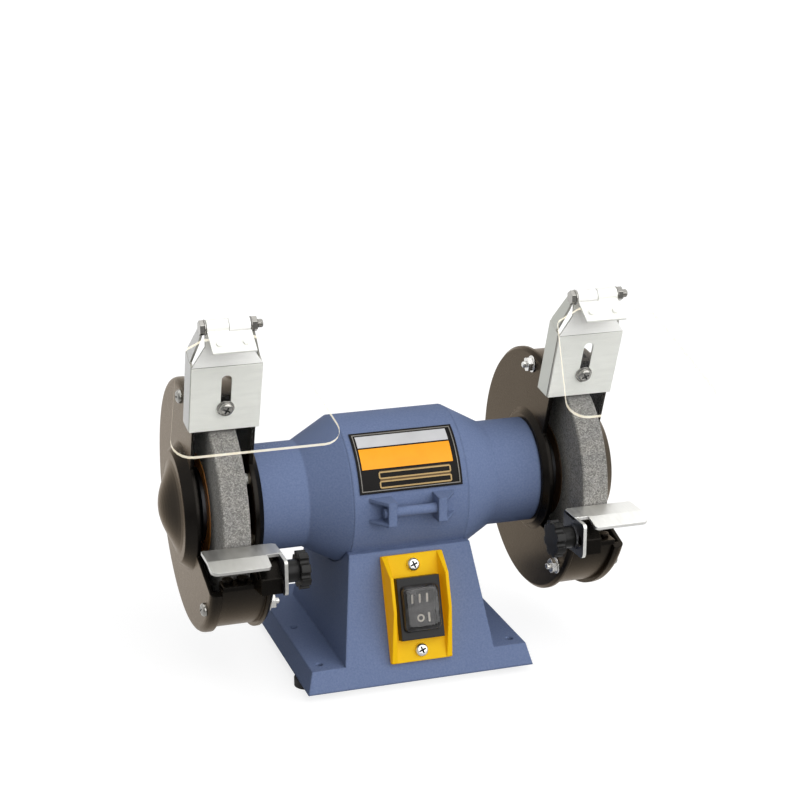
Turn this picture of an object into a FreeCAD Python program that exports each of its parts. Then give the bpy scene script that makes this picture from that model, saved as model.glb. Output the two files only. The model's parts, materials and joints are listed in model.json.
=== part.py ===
import FreeCAD
import Part
import Sketcher
import math
import os
from types import SimpleNamespace

Vector = FreeCAD.Vector

# Bench grinder with two 125 mm wheels. Millimetres, +Z up, -Y is the front.
# The origin is on the bench, in the middle of the space that the machine takes up.
SIZES = {
    # base and pedestal
    "axis_height": 108.0,
    "shaft_setback": 23.5,
    "foot_height": 5.0,
    "foot_radius": 8.0,
    "foot_front_inset": 26.5,
    "foot_rear_inset": 20.5,
    "foot_front_side_inset": 6.4,
    "foot_rear_side_inset": 16.4,
    "base_half_width": 70.4,
    "base_draft": 3.4,
    "base_front": 64.5,
    "base_rear": 79.5,
    "base_flange_thickness": 13.0,
    "rear_corner_radius": 28.0,
    "pedestal_foot_half_width": 46.6,
    "pedestal_top_half_width": 37.6,
    "pedestal_rear": 64.5,
    "pedestal_top_depth": 40.0,
    "pedestal_drop": 27.8,
    "pedestal_wall": 5.0,
    "mount_hole_radius": 2.2,
    "mount_hole_side_inset": 10.4,
    "mount_hole_front_inset": 13.5,
    "mount_hole_pitch": 58.0,
    # motor
    "drum_radius": 45.0,
    "drum_wall": 5.0,
    "drum_half_length": 35.2,
    "cone_length": 23.2,
    "neck_length": 28.2,
    "neck_radius": 32.0,
    "bell_wall": 4.5,
    "spigot_length": 5.0,
    "spigot_wall": 3.4,
    "bearing_radius": 17.5,
    "bearing_width": 11.0,
    "bearing_split_radius": 14.2,
    "neck_end_wall": 3.6,
    "shaft_passage": 9.0,
    "stator_half_length": 22.0,
    "stator_bore": 22.5,
    "winding_overhang": 8.0,
    "winding_inner": 25.0,
    "winding_outer": 35.0,
    "air_gap": 0.35,
    "rotor_half_length": 22.5,
    "rotor_seat": 9.0,
    "journal_radius": 7.5,
    "spindle_radius": 6.35,
    "shoulder_gap": 6.4,
    "fit": 0.02,
    "running_fit": 0.05,
    "joint_gap": 0.3,
    # wheel stack
    "wheel_radius": 62.5,
    "wheel_width": 16.0,
    "wheel_edge": 0.8,
    "wheel_flange_radius": 22.0,
    "inner_flange_thickness": 7.5,
    "outer_flange_thickness": 4.0,
    "blotter_thickness": 0.5,
    "blotter_radius": 30.0,
    "nut_flats": 19.0,
    "nut_height": 9.0,
    "shaft_overhang": 3.5,
    # guards
    "hub_step": 3.2,
    "hub_radius": 38.0,
    "hub_hole": 10.0,
    "plate_thickness": 2.6,
    "rim_gap": 8.0,
    "guard_wall": 2.5,
    "rim_step": 2.5,
    "guard_lip": 3.8,
    "guard_edge": 1.8,
    "cover_edge": 4.0,
    "wheel_side_gap": 2.8,
    "cover_depth": 6.8,
    "cover_wall": 2.2,
    "boss_radius": 38.5,
    "boss_height": 6.0,
    "boss_slope": 5.5,
    "dome_radius": 28.0,
    "dome_gap": 5.3,
    "shelf_drop": 29.5,
    "mouth_rise": 1.0,
    "mouth_tilt": 17.6,
    "shelf_thickness": 3.0,
    "shelf_gap": 2.4,
    "tab_thickness": 3.0,
    "tab_height": 11.5,
    "cover_bolt_inset": 2.0,
    "cover_boss_radius": 4.2,
    "cover_bolt_radius": 2.0,
    "cover_bolt_top_angle": 95.0,
    "cover_bolt_front_angle": 222.0,
    "cover_bolt_rear_angle": 340.0,
    "screw_head_radius": 4.0,
    "screw_head_height": 2.6,
    "guard_screw_circle": 27.0,
    "guard_screw_radius": 2.0,
    "guard_screw_depth": 10.0,
    # tool rest
    "rest_drop": 5.0,
    "rest_gap": 1.7,
    "rest_depth": 16.8,
    "rest_width": 42.5,
    "rest_corner": 2.0,
    "rest_sheet": 2.0,
    "rest_setback": 1.8,
    "lip_reach": 11.0,
    "lip_drop": 3.2,
    "lip_notch": 8.6,
    "cheek_reach": 29.5,
    "cheek_height": 21.6,
    "knob_below_rest": 12.0,
    "knob_setback": 15.0,
    "knob_radius": 11.0,
    "knob_thickness": 5.4,
    "knob_hub_radius": 6.5,
    "knob_hub_length": 7.6,
    "knob_flute": 2.0,
    "stud_radius": 3.0,
    "stud_length": 12.5,
    "slot_half_length": 9.0,
    "slot_play": 0.3,
    "washer_thickness": 1.2,
    "washer_radius": 7.5,
    "ear_width": 12.0,
    "ear_behind": 12.5,
    "ear_ahead": 9.0,
    "ear_top_gap": 2.6,
    "bracket_thickness": 3.0,
    "bracket_inset": 0.6,
    "bracket_depth": 11.0,
    "bracket_bolt_radius": 2.0,
    "bracket_bolt_setback": 3.6,
    "bracket_bolt_near": 5.6,
    "bracket_bolt_far": 14.4,
    # spark bracket and eye shield
    "spark_tilt": 20.0,
    "spark_offset": 12.9,
    "spark_gap": 1.3,
    "spark_height": 43.5,
    "spark_sheet": 1.5,
    "spark_side_depth": 16.0,
    "spark_side_dip": 3.5,
    "spark_side_gap": 0.3,
    "spark_slot_low": 9.5,
    "spark_slot_high": 37.2,
    "spark_screw_height": 15.5,
    "spark_screw_radius": 2.5,
    "neck_tilt": 17.7,
    "neck_shoulder": 11.6,
    "neck_half_width": 12.2,
    "hinge_rise": 23.5,
    "knuckle_radius": 4.2,
    "hinge_bolt_radius": 2.5,
    "hinge_bolt_end": 7.0,
    "bolt_flats": 8.0,
    "bolt_head": 3.6,
    "shield_tilt": 33.3,
    "leaf_reach": 20.0,
    "leaf_thickness": 1.2,
    "shield_thickness": 2.0,
    "shield_top": 8.0,
    "shield_tongue": 14.0,
    "shield_shoulder": 16.6,
    "shield_shoulder_half": 30.0,
    "shield_reach": 87.0,
    "shield_half_width": 47.5,
    "shield_shift": 1.2,
    "shield_corner": 10.0,
    # switch, nameplate, hanger
    "switch_drop": 33.3,
    "switch_plate_end": 6.5,
    "switch_plate_thickness": 3.0,
    "switch_cheek_width": 3.6,
    "switch_cheek_gap": 2.2,
    "switch_cheek_rise": 11.0,
    "switch_screw_gap": 7.1,
    "bezel_side": 2.2,
    "bezel_end": 3.2,
    "bezel_depth": 7.0,
    "switch_body_side": 1.5,
    "switch_body_end": 2.0,
    "switch_body_depth": 20.0,
    "rocker_half_width": 9.0,
    "rocker_half_height": 11.2,
    "rocker_pivot_radius": 1.5,
    "rocker_play": 0.5,
    "boot_depth": 5.0,
    "boot_wall": 1.3,
    "boot_room": 1.4,
    "nameplate_half_width": 31.5,
    "nameplate_thickness": 0.8,
    "nameplate_top_angle": 28.0,
    "nameplate_span_angle": 49.0,
    "lug_spread": 15.3,
    "lug_width": 5.2,
    "lug_gusset": 8.0,
    "lug_gusset_sheet": 2.2,
    "lug_stand": 11.0,
    "lug_height": 15.0,
    "pin_radius": 3.0,
    "pin_stand": 6.0,
    "pin_end": 1.5,
    # inside the pedestal
    "cover_plate": 2.0,
    "cover_plate_margin": 5.0,
    "plate_screw_front": 25.0,
    "plate_screw_rear": 22.0,
    "cap_radius": 14.0,
    "cap_length": 52.0,
    "cap_rear": 14.0,
    "clip_sheet": 1.0,
    "clip_width": 12.0,
    "gland_height": 36.0,
    "gland_radius": 6.5,
    "gland_flange": 9.5,
    "gland_flange_thickness": 4.0,
}


class Dim:
    """A size with its value now and the sheet expression it comes from."""

    def __init__(self, value, text):
        self.value = float(value)
        self.text = text

    def __add__(self, other):
        other = dim(other)
        return Dim(self.value + other.value, "(%s + %s)" % (self.text, other.text))

    def __radd__(self, other):
        return dim(other) + self

    def __sub__(self, other):
        other = dim(other)
        return Dim(self.value - other.value, "(%s - %s)" % (self.text, other.text))

    def __rsub__(self, other):
        return dim(other) - self

    def __mul__(self, other):
        other = dim(other)
        return Dim(self.value * other.value, "(%s * %s)" % (self.text, other.text))

    def __rmul__(self, other):
        return dim(other) * self

    def __truediv__(self, other):
        other = dim(other)
        return Dim(self.value / other.value, "(%s / %s)" % (self.text, other.text))

    def __neg__(self):
        return Dim(-self.value, "(-1 * %s)" % self.text)


def dim(value):
    if isinstance(value, Dim):
        return value
    return Dim(value, "(%.6f)" % value)


def sine(angle):
    return Dim(math.sin(math.radians(angle.value)), "sin(%s)" % angle.text)


def cosine(angle):
    return Dim(math.cos(math.radians(angle.value)), "cos(%s)" % angle.text)


def slope_angle(rise):
    return Dim(math.degrees(math.atan(rise.value)), "atan(%s)" % rise.text)


def root(square):
    return Dim(math.sqrt(square.value), "sqrt(%s)" % square.text)


doc = FreeCAD.newDocument("BenchGrinder")
sheet = doc.addObject("Spreadsheet::Sheet", "Sizes")
for row, (alias, number) in enumerate(SIZES.items(), start=1):
    sheet.set("A%d" % row, alias)
    sheet.set("B%d" % row, str(number))
    sheet.setAlias("B%d" % row, alias)
doc.recompute()
S = SimpleNamespace(**{a: Dim(n, "Sizes." + a) for a, n in SIZES.items()})

nodes = {}


def bind(obj, prop, value):
    obj.setExpression(prop, dim(value).text)


def place(obj, x=0, y=0, z=0, axis=Vector(0, 0, 1), angle=0):
    turn = dim(angle)
    obj.Placement = FreeCAD.Placement(Vector(0, 0, 0), FreeCAD.Rotation(axis, turn.value))
    bind(obj, "Placement.Base.x", x)
    bind(obj, "Placement.Base.y", y)
    bind(obj, "Placement.Base.z", z)
    if isinstance(angle, Dim):
        bind(obj, "Placement.Rotation.Angle", turn)
    return obj


def block(name, x, y, z, length, width, height):
    obj = doc.addObject("Part::Box", name)
    bind(obj, "Length", length)
    bind(obj, "Width", width)
    bind(obj, "Height", height)
    return place(obj, x, y, z)


def rod(name, radius, length, x, y, z, axis=Vector(0, 1, 0), angle=90):
    """A cylinder from (x, y, z), along +X unless turned another way."""
    obj = doc.addObject("Part::Cylinder", name)
    bind(obj, "Radius", radius)
    bind(obj, "Height", length)
    return place(obj, x, y, z, axis, angle)


def rod_up(name, radius, length, x, y, z):
    return rod(name, radius, length, x, y, z, Vector(0, 0, 1), 0)


def rod_back(name, radius, length, x, y, z):
    return rod(name, radius, length, x, y, z, Vector(1, 0, 0), -90)


def hexagon(name, flats, length, x, y, z):
    """A hexagonal prism along +X."""
    obj = doc.addObject("Part::Prism", name)
    obj.Polygon = 6
    bind(obj, "Circumradius", flats / math.sqrt(3))
    bind(obj, "Height", length)
    return place(obj, x, y, z, Vector(0, 1, 0), 90)


def frustum(name, low, high, half_low, front_low, rear_low, half_high, front_high, rear_high):
    """A tapered block that stands between two heights."""
    obj = doc.addObject("Part::Wedge", name)
    bind(obj, "Ymin", low)
    bind(obj, "Ymax", high)
    bind(obj, "Xmin", -half_low)
    bind(obj, "Xmax", half_low)
    bind(obj, "Zmin", -rear_low)
    bind(obj, "Zmax", front_low)
    bind(obj, "X2min", -half_high)
    bind(obj, "X2max", half_high)
    bind(obj, "Z2min", -rear_high)
    bind(obj, "Z2max", front_high)
    return place(obj, 0, 0, 0, Vector(1, 0, 0), 90)


def fuse(name, *shapes):
    obj = doc.addObject("Part::MultiFuse", name)
    obj.Shapes = list(shapes)
    obj.Refine = True
    return obj


def cut(name, base, *tools):
    obj = doc.addObject("Part::Cut", name)
    obj.Base = base
    obj.Tool = tools[0] if len(tools) == 1 else fuse(name + "_tools", *tools)
    obj.Refine = True
    return obj


def common(name, *shapes):
    obj = doc.addObject("Part::MultiCommon", name)
    obj.Shapes = list(shapes)
    return obj


def group(name, *shapes):
    obj = doc.addObject("Part::Compound", name)
    obj.Links = list(shapes)
    return obj


# every piece is drawn about the shaft, then set back to its place behind the origin
mount_hole_side = S.base_half_width - S.mount_hole_side_inset
mount_hole_front = S.base_front - S.mount_hole_front_inset


def node(label, obj):
    obj.Label = label + "_on_shaft"
    holder = place(group("set_" + label, obj), 0, S.shaft_setback, 0)
    holder.Label = label
    nodes[label] = holder
    return obj


def mirror(label, source):
    obj = doc.addObject("Part::Mirroring", label)
    obj.Source = source
    obj.Base = Vector(0, 0, 0)
    obj.Normal = Vector(1, 0, 0)
    return node(label, obj)


def outline(body, role, points):
    """A closed sketch through points, each held by its two distances."""
    sketch = body.newObject("Sketcher::SketchObject", body.Name + "_outline")
    plane = [o for o in body.Origin.OriginFeatures if o.Role == role][0]
    sketch.AttachmentSupport = [(plane, "")]
    sketch.MapMode = "FlatFace"
    corners = [(dim(u), dim(v)) for u, v in points]
    count = len(corners)
    for i, (u, v) in enumerate(corners):
        nu, nv = corners[(i + 1) % count]
        sketch.addGeometry(Part.LineSegment(Vector(u.value, v.value, 0), Vector(nu.value, nv.value, 0)))
    for i in range(count):
        sketch.addConstraint(Sketcher.Constraint("Coincident", i, 2, (i + 1) % count, 1))
    for i, (u, v) in enumerate(corners):
        for kind, value, axis in (("DistanceX", u, -2), ("DistanceY", v, -1)):
            if value.value == 0.0:
                sketch.addConstraint(Sketcher.Constraint("PointOnObject", i, 1, axis))
            else:
                number = sketch.addConstraint(Sketcher.Constraint(kind, -1, 1, i, 1, value.value))
                sketch.setExpression("Constraints[%d]" % number, value.text)
    return sketch


def turned(name, points):
    """A body turned about the shaft axis from (x, radius) points."""
    body = doc.addObject("PartDesign::Body", name)
    sketch = outline(body, "XY_Plane", points)
    turn = body.newObject("PartDesign::Revolution", name + "_turn")
    turn.Profile = sketch
    turn.ReferenceAxis = (sketch, ["H_Axis"])
    turn.Angle = 360
    return place(body, 0, 0, S.axis_height)


def padded(name, role, points, length):
    body = doc.addObject("PartDesign::Body", name)
    sketch = outline(body, role, points)
    pad = body.newObject("PartDesign::Pad", name + "_pad")
    pad.Profile = sketch
    bind(pad, "Length", length)
    return body


def prism_x(name, points, x, length, y=0, z=0):
    """A (y, z) outline carried along +X from x."""
    return place(padded(name, "YZ_Plane", points, length), x, y, z)


# stations along the shaft, from the middle outwards
neck_face = S.drum_half_length + S.cone_length + S.neck_length
plate_face = neck_face + S.hub_step
plate_inside = plate_face + S.plate_thickness
shoulder = neck_face + S.shoulder_gap
wheel_in = shoulder + S.inner_flange_thickness + S.blotter_thickness
wheel_out = wheel_in + S.wheel_width
outer_flange_in = wheel_out + S.blotter_thickness
nut_in = outer_flange_in + S.outer_flange_thickness
nut_out = nut_in + S.nut_height
shaft_end = nut_out + S.shaft_overhang
rim_end = wheel_out + S.wheel_side_gap
cover_face = rim_end + S.cover_depth
boss_face = cover_face + S.boss_height
dome_top = shaft_end + S.dome_gap + S.cover_wall
rim_radius = S.wheel_radius + S.rim_gap + S.guard_wall
guard_radius = rim_radius + S.rim_step
axis = S.axis_height

# base and pedestal: the front face runs straight from the bench edge to the pedestal's top,
# and the flange stands out at the sides and at the rear
base_low = S.foot_height
base_high = S.foot_height + S.base_flange_thickness
pedestal_top = axis - S.pedestal_drop
face_rise = pedestal_top - base_low


def front_at(z):
    return S.base_front - (S.base_front - S.pedestal_top_depth) * (z - base_low) / face_rise


def rear_at(z):
    return S.pedestal_rear - (S.pedestal_rear - S.pedestal_top_depth) * (z - base_low) / face_rise


def side_at(z):
    return S.pedestal_foot_half_width - (
        S.pedestal_foot_half_width - S.pedestal_top_half_width
    ) * (z - base_high) / (pedestal_top - base_high)


front_slope = slope_angle((S.base_front - S.pedestal_top_depth) / face_rise)
rear_slope = slope_angle((S.pedestal_rear - S.pedestal_top_depth) / face_rise)

flange_taper = frustum(
    "flange_taper", base_low, base_high,
    S.base_half_width, S.base_front, S.base_rear,
    S.base_half_width - S.base_draft, front_at(base_high), S.base_rear - S.base_draft)
plan_wide = block(
    "plan_wide", -S.base_half_width, -S.base_front, base_low, 2 * S.base_half_width,
    S.base_front + S.base_rear - S.rear_corner_radius, S.base_flange_thickness)
plan_narrow = block(
    "plan_narrow", S.rear_corner_radius - S.base_half_width, -S.base_front, base_low,
    2 * (S.base_half_width - S.rear_corner_radius), S.base_front + S.base_rear, S.base_flange_thickness)
plan_corners = [
    rod_up(
        "plan_corner_%s" % word, S.rear_corner_radius, S.base_flange_thickness,
        side * (S.base_half_width - S.rear_corner_radius), S.base_rear - S.rear_corner_radius, base_low)
    for word, side in (("left", -1), ("right", 1))]
flange = common("flange", flange_taper, fuse("flange_plan", plan_wide, plan_narrow, *plan_corners))

pedestal = frustum(
    "pedestal", base_high, pedestal_top,
    S.pedestal_foot_half_width, front_at(base_high), rear_at(base_high),
    S.pedestal_top_half_width, S.pedestal_top_depth, S.pedestal_top_depth)
bell_room = [
    turned("bell_room_%s" % word, [
        (side * S.drum_half_length, 0),
        (side * S.drum_half_length, S.drum_radius + S.joint_gap),
        (side * (S.drum_half_length + S.cone_length), S.neck_radius + S.joint_gap),
        (side * neck_face, S.neck_radius + S.joint_gap),
        (side * neck_face, 0)])
    for word, side in (("left", -1), ("right", 1))]
lug_reach = S.drum_radius + S.lug_stand
pin_reach = S.drum_radius + S.pin_stand
drum = rod("drum", S.drum_radius, 2 * S.drum_half_length, -S.drum_half_length, 0, axis)
lugs = [
    block(
        "lug_%s" % word, side * S.lug_spread - S.lug_width / 2, -lug_reach, axis - S.lug_height / 2,
        S.lug_width, lug_reach - S.drum_radius + S.drum_wall, S.lug_height)
    for word, side in (("left", -1), ("right", 1))]
# a gusset at the top and at the bottom of each lug leaves a pocket on its outer side
lug_out = S.lug_spread + S.lug_width / 2
gusset_root = S.drum_wall / 2 - S.drum_radius
gusset_low = axis - S.lug_height / 2
gusset_high = axis + S.lug_height / 2 - S.lug_gusset_sheet
gussets = []
for word, side in (("left", -1), ("right", 1)):
    for level, z in (("low", gusset_low), ("high", gusset_high)):
        gusset = padded("gusset_%s_%s" % (word, level), "XY_Plane", [
            (side * S.lug_spread, -lug_reach), (side * lug_out, -lug_reach),
            (side * (lug_out + S.lug_gusset), -S.drum_radius),
            (side * (lug_out + S.lug_gusset), gusset_root),
            (side * S.lug_spread, gusset_root)], S.lug_gusset_sheet)
        gussets.append(place(gusset, 0, 0, z))
housing_solid = fuse(
    "housing_solid", flange, cut("pedestal_trim", pedestal, *bell_room), drum, *lugs, *gussets)

stator_radius = S.drum_radius - S.drum_wall
bore = rod("bore", stator_radius, 2 * S.drum_half_length, -S.drum_half_length, 0, axis)
cavity_top = axis - S.drum_radius
cavity_half = S.pedestal_foot_half_width - S.pedestal_wall
cavity = frustum(
    "cavity", base_low, cavity_top,
    cavity_half, front_at(base_high) - S.pedestal_wall, rear_at(base_high) - S.pedestal_wall,
    side_at(cavity_top) - S.pedestal_wall,
    front_at(cavity_top) - S.pedestal_wall, rear_at(cavity_top) - S.pedestal_wall)
wire_hole = rod_up("wire_hole", S.pedestal_wall, S.drum_radius, 0, 0, cavity_top - S.drum_wall)
plate_half = cavity_half + S.cover_plate_margin
plate_front = front_at(base_high) - S.pedestal_wall + S.cover_plate_margin
plate_rear = rear_at(base_high) - S.pedestal_wall + S.cover_plate_margin
plate_recess = block(
    "plate_recess", -(plate_half + S.joint_gap), -(plate_front + S.joint_gap), base_low,
    2 * (plate_half + S.joint_gap), plate_front + plate_rear + 2 * S.joint_gap, S.cover_plate)

mount_places = [
    (side * mount_hole_side, y)
    for y in (-mount_hole_front, S.mount_hole_pitch - mount_hole_front) for side in (-1, 1)]
mount_holes = [
    rod_up("mount_hole_%d" % i, S.mount_hole_radius, S.base_flange_thickness, x, y, base_low)
    for i, (x, y) in enumerate(mount_places)]
pin_hole = rod(
    "pin_hole", S.pin_radius + S.fit, 2 * lug_out, -lug_out, -pin_reach, axis)

# the switch stands on the pedestal's front face, the gland on its rear face
pocket_half_width = S.rocker_half_width + S.rocker_play
pocket_half_height = S.rocker_half_height + 4 * S.rocker_play
body_half_width = pocket_half_width + S.switch_body_side
body_half_height = pocket_half_height + S.switch_body_end
bezel_half_width = body_half_width + S.bezel_side
bezel_half_height = body_half_height + S.bezel_end
switch_screw_spread = bezel_half_height + S.switch_screw_gap
switch_half_width = bezel_half_width + S.switch_cheek_gap + S.switch_cheek_width
switch_half_height = switch_screw_spread + S.switch_plate_end
switch_height = pedestal_top - S.switch_drop
switch_y = -front_at(switch_height)
switch_room = block(
    "switch_room_box", -(body_half_width + S.joint_gap), -S.pedestal_wall,
    -(body_half_height + S.joint_gap), 2 * (body_half_width + S.joint_gap),
    4 * S.pedestal_wall, 2 * (body_half_height + S.joint_gap))
switch_screw_room = [
    rod_back(
        "switch_screw_room_%s" % word, S.cover_bolt_radius + S.fit, 2 * S.pedestal_wall,
        0, -S.pedestal_wall / 2, side * switch_screw_spread)
    for word, side in (("low", -1), ("high", 1))]
front_cuts = place(
    group("front_cuts", switch_room, *switch_screw_room),
    0, switch_y, switch_height, Vector(1, 0, 0), -front_slope)
gland_y = rear_at(S.gland_height)
gland_room = place(
    group("gland_cut", rod_back(
        "gland_room", S.gland_radius + S.fit, 4 * S.pedestal_wall, 0, -2 * S.pedestal_wall, 0)),
    0, gland_y, S.gland_height, Vector(1, 0, 0), rear_slope)
plate_screw_places = [
    (side * (cavity_half + S.cover_plate_margin / 2), y)
    for y in (-S.plate_screw_front, S.plate_screw_rear) for side in (-1, 1)]
plate_screw_holes = [
    rod_up(
        "plate_screw_hole_%d" % i, S.guard_screw_radius + S.fit, S.base_flange_thickness, x, y, base_low)
    for i, (x, y) in enumerate(plate_screw_places)]
node("motor_housing", cut(
    "motor_housing", housing_solid, bore, cavity, wire_hole, plate_recess, pin_hole,
    front_cuts, gland_room, *mount_holes, *plate_screw_holes))

# end bells: cone, neck and bearing seat, with a spigot into the drum
cone_end = S.drum_half_length + S.cone_length
bearing_in = neck_face - S.neck_end_wall - S.bearing_width
seat = S.bearing_radius + S.fit
spigot = stator_radius - S.fit
right_bell_body = turned("right_bell_body", [
    (neck_face, S.shaft_passage),
    (neck_face, S.neck_radius),
    (cone_end, S.neck_radius),
    (S.drum_half_length, S.drum_radius),
    (S.drum_half_length, spigot),
    (S.drum_half_length - S.spigot_length, spigot),
    (S.drum_half_length - S.spigot_length, spigot - S.spigot_wall),
    (S.drum_half_length + S.spigot_wall, spigot - S.spigot_wall),
    (cone_end, S.neck_radius - S.bell_wall),
    (bearing_in - S.bell_wall, S.neck_radius - S.bell_wall),
    (bearing_in - S.bell_wall, seat),
    (neck_face - S.neck_end_wall, seat),
    (neck_face - S.neck_end_wall, S.shaft_passage)])
diagonal = S.guard_screw_circle / math.sqrt(2)
guard_screw_places = [(u * diagonal, axis + v * diagonal) for u in (-1, 1) for v in (-1, 1)]
bell_screw_holes = [
    rod("bell_screw_hole_%d" % i, S.guard_screw_radius + S.fit, S.guard_screw_depth,
        neck_face - S.guard_screw_depth, y, z)
    for i, (y, z) in enumerate(guard_screw_places)]
right_bell = node("right_end_bell", cut("right_end_bell", right_bell_body, *bell_screw_holes))
mirror("left_end_bell", right_bell)

# motor inside
node("stator_core", cut(
    "stator_core",
    rod("stator_outside", stator_radius - S.fit, 2 * S.stator_half_length, -S.stator_half_length, 0, axis),
    rod("stator_inside", S.stator_bore, 2 * S.stator_half_length, -S.stator_half_length, 0, axis)))
windings = []
for word, start in (("left", -S.stator_half_length - S.winding_overhang), ("right", S.stator_half_length)):
    windings.append(cut(
        "winding_" + word,
        rod("winding_outside_" + word, S.winding_outer, S.winding_overhang, start, 0, axis),
        rod("winding_inside_" + word, S.winding_inner, S.winding_overhang, start, 0, axis)))
node("stator_windings", group("stator_windings", *windings))
node("rotor_core", cut(
    "rotor_core",
    rod("rotor_outside", S.stator_bore - S.air_gap, 2 * S.rotor_half_length, -S.rotor_half_length, 0, axis),
    rod("rotor_inside", S.rotor_seat + S.fit, 2 * S.rotor_half_length, -S.rotor_half_length, 0, axis)))

half_shaft = [
    (bearing_in, S.rotor_seat),
    (bearing_in, S.journal_radius),
    (shoulder, S.journal_radius),
    (shoulder, S.spindle_radius),
    (shaft_end, S.spindle_radius),
    (shaft_end, 0)]
node("shaft", turned("shaft", [(-x, r) for x, r in reversed(half_shaft)] + half_shaft))

bearing_outer = node("right_bearing_outer", cut(
    "right_bearing_outer",
    rod("bearing_outside", S.bearing_radius, S.bearing_width, bearing_in, 0, axis),
    rod("bearing_split", S.bearing_split_radius, S.bearing_width, bearing_in, 0, axis)))
mirror("left_bearing_outer", bearing_outer)
bearing_inner = node("right_bearing_inner", cut(
    "right_bearing_inner",
    rod("race_outside", S.bearing_split_radius - S.running_fit, S.bearing_width, bearing_in, 0, axis),
    rod("race_inside", S.journal_radius + S.fit, S.bearing_width, bearing_in, 0, axis)))
mirror("left_bearing_inner", bearing_inner)

# wheel stack on each spindle end
spindle_bore = S.spindle_radius + S.fit
edge = S.wheel_edge
wheel = node("right_wheel", turned("right_wheel", [
    (wheel_in, spindle_bore), (wheel_in, S.wheel_radius - edge), (wheel_in + edge, S.wheel_radius),
    (wheel_out - edge, S.wheel_radius), (wheel_out, S.wheel_radius - edge), (wheel_out, spindle_bore)]))
mirror("left_wheel", wheel)
blotter_pair = []
for word, start in (("inner", wheel_in - S.blotter_thickness), ("outer", wheel_out)):
    blotter_pair.append(cut(
        "blotter_" + word,
        rod("blotter_disc_" + word, S.blotter_radius, S.blotter_thickness, start, 0, axis),
        rod("blotter_hole_" + word, spindle_bore, S.blotter_thickness, start, 0, axis)))
blotters = node("right_blotters", group("right_blotters", *blotter_pair))
mirror("left_blotters", blotters)
inner_flange = node("right_inner_flange", turned("right_inner_flange", [
    (shoulder, spindle_bore),
    (shoulder, S.wheel_flange_radius / 2),
    (shoulder + S.inner_flange_thickness / 2, S.wheel_flange_radius),
    (shoulder + S.inner_flange_thickness, S.wheel_flange_radius),
    (shoulder + S.inner_flange_thickness, spindle_bore)]))
mirror("left_inner_flange", inner_flange)
outer_flange = node("right_outer_flange", turned("right_outer_flange", [
    (outer_flange_in, spindle_bore),
    (outer_flange_in, S.wheel_flange_radius),
    (outer_flange_in + S.outer_flange_thickness / 2, S.wheel_flange_radius),
    (nut_in, S.wheel_flange_radius - S.outer_flange_thickness / 2),
    (nut_in, spindle_bore)]))
mirror("left_outer_flange", outer_flange)
spindle_nut = node("right_spindle_nut", cut(
    "right_spindle_nut",
    hexagon("nut_hexagon", S.nut_flats, S.nut_height, nut_in, 0, axis),
    rod("nut_hole", spindle_bore, S.nut_height, nut_in, 0, axis)))
mirror("left_spindle_nut", spindle_nut)

# guards: the mouth lies before the tilted tab and above the shelf
shelf_top = axis - S.shelf_drop
shelf_reach = root(S.wheel_radius * S.wheel_radius - S.shelf_drop * S.shelf_drop) + S.shelf_gap
bracket_back = shelf_reach + S.bracket_inset
bracket_front = bracket_back + S.bracket_depth
bracket_bolt_reach = shelf_reach + S.bracket_bolt_setback
reach = 2 * guard_radius
mouth_front = place(
    group("mouth_front", block(
        "mouth_front_box", neck_face - reach, -(S.spark_offset + reach), -reach,
        3 * reach, reach, 2 * reach)),
    0, 0, axis, Vector(1, 0, 0), S.spark_tilt)
mouth_above = block("mouth_above", neck_face - reach, -reach, shelf_top, 3 * reach, 2 * reach, 2 * reach)
mouth_wedge = common("mouth_wedge", mouth_front, mouth_above)
mouth_inner = cut(
    "mouth_inner", mouth_wedge, rod("hub_keep", S.hub_radius, 3 * reach, neck_face - reach, 0, axis))
# on the cover the lower edge of the mouth slopes down to the front
mouth_low = place(
    group("mouth_low", block(
        "mouth_low_box", neck_face - reach, -reach, 0, 3 * reach, 2 * reach, 2 * reach)),
    0, -shelf_reach, shelf_top + S.mouth_rise, Vector(1, 0, 0), S.mouth_tilt)
mouth_cover = common("mouth_cover", mouth_front, mouth_low)
mouth_outer = cut(
    "mouth_outer", mouth_cover, rod("boss_keep", S.boss_radius, 3 * reach, neck_face - reach, 0, axis))

bolt_circle = rim_radius - S.guard_wall - S.cover_bolt_inset
cover_bolt_places = [
    (bolt_circle * cosine(a), axis + bolt_circle * sine(a))
    for a in (S.cover_bolt_top_angle, S.cover_bolt_front_angle, S.cover_bolt_rear_angle)]
cover_bolt_holes = [
    rod("cover_bolt_hole_%d" % i, S.cover_bolt_radius + S.fit, dome_top - neck_face, neck_face, y, z)
    for i, (y, z) in enumerate(cover_bolt_places)]
cover_bolt_bosses = [
    rod("cover_bolt_boss_%d" % i, S.cover_boss_radius, rim_end - plate_face, plate_face, y, z)
    for i, (y, z) in enumerate(cover_bolt_places)]
guard_screw_holes = [
    rod("guard_screw_hole_%d" % i, S.guard_screw_radius + S.fit, plate_inside - neck_face, neck_face, y, z)
    for i, (y, z) in enumerate(guard_screw_places)]
inner_guard_body = turned("inner_guard_body", [
    (neck_face, S.hub_hole),
    (neck_face, S.hub_radius - S.hub_step),
    (plate_face, S.hub_radius),
    (plate_face, guard_radius - S.guard_edge),
    (plate_face + S.guard_edge, guard_radius),
    (plate_face + S.guard_lip, guard_radius),
    (plate_face + S.guard_lip, rim_radius),
    (rim_end, rim_radius),
    (rim_end, rim_radius - S.guard_wall),
    (plate_inside, rim_radius - S.guard_wall),
    (plate_inside, S.hub_hole)])
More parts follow.
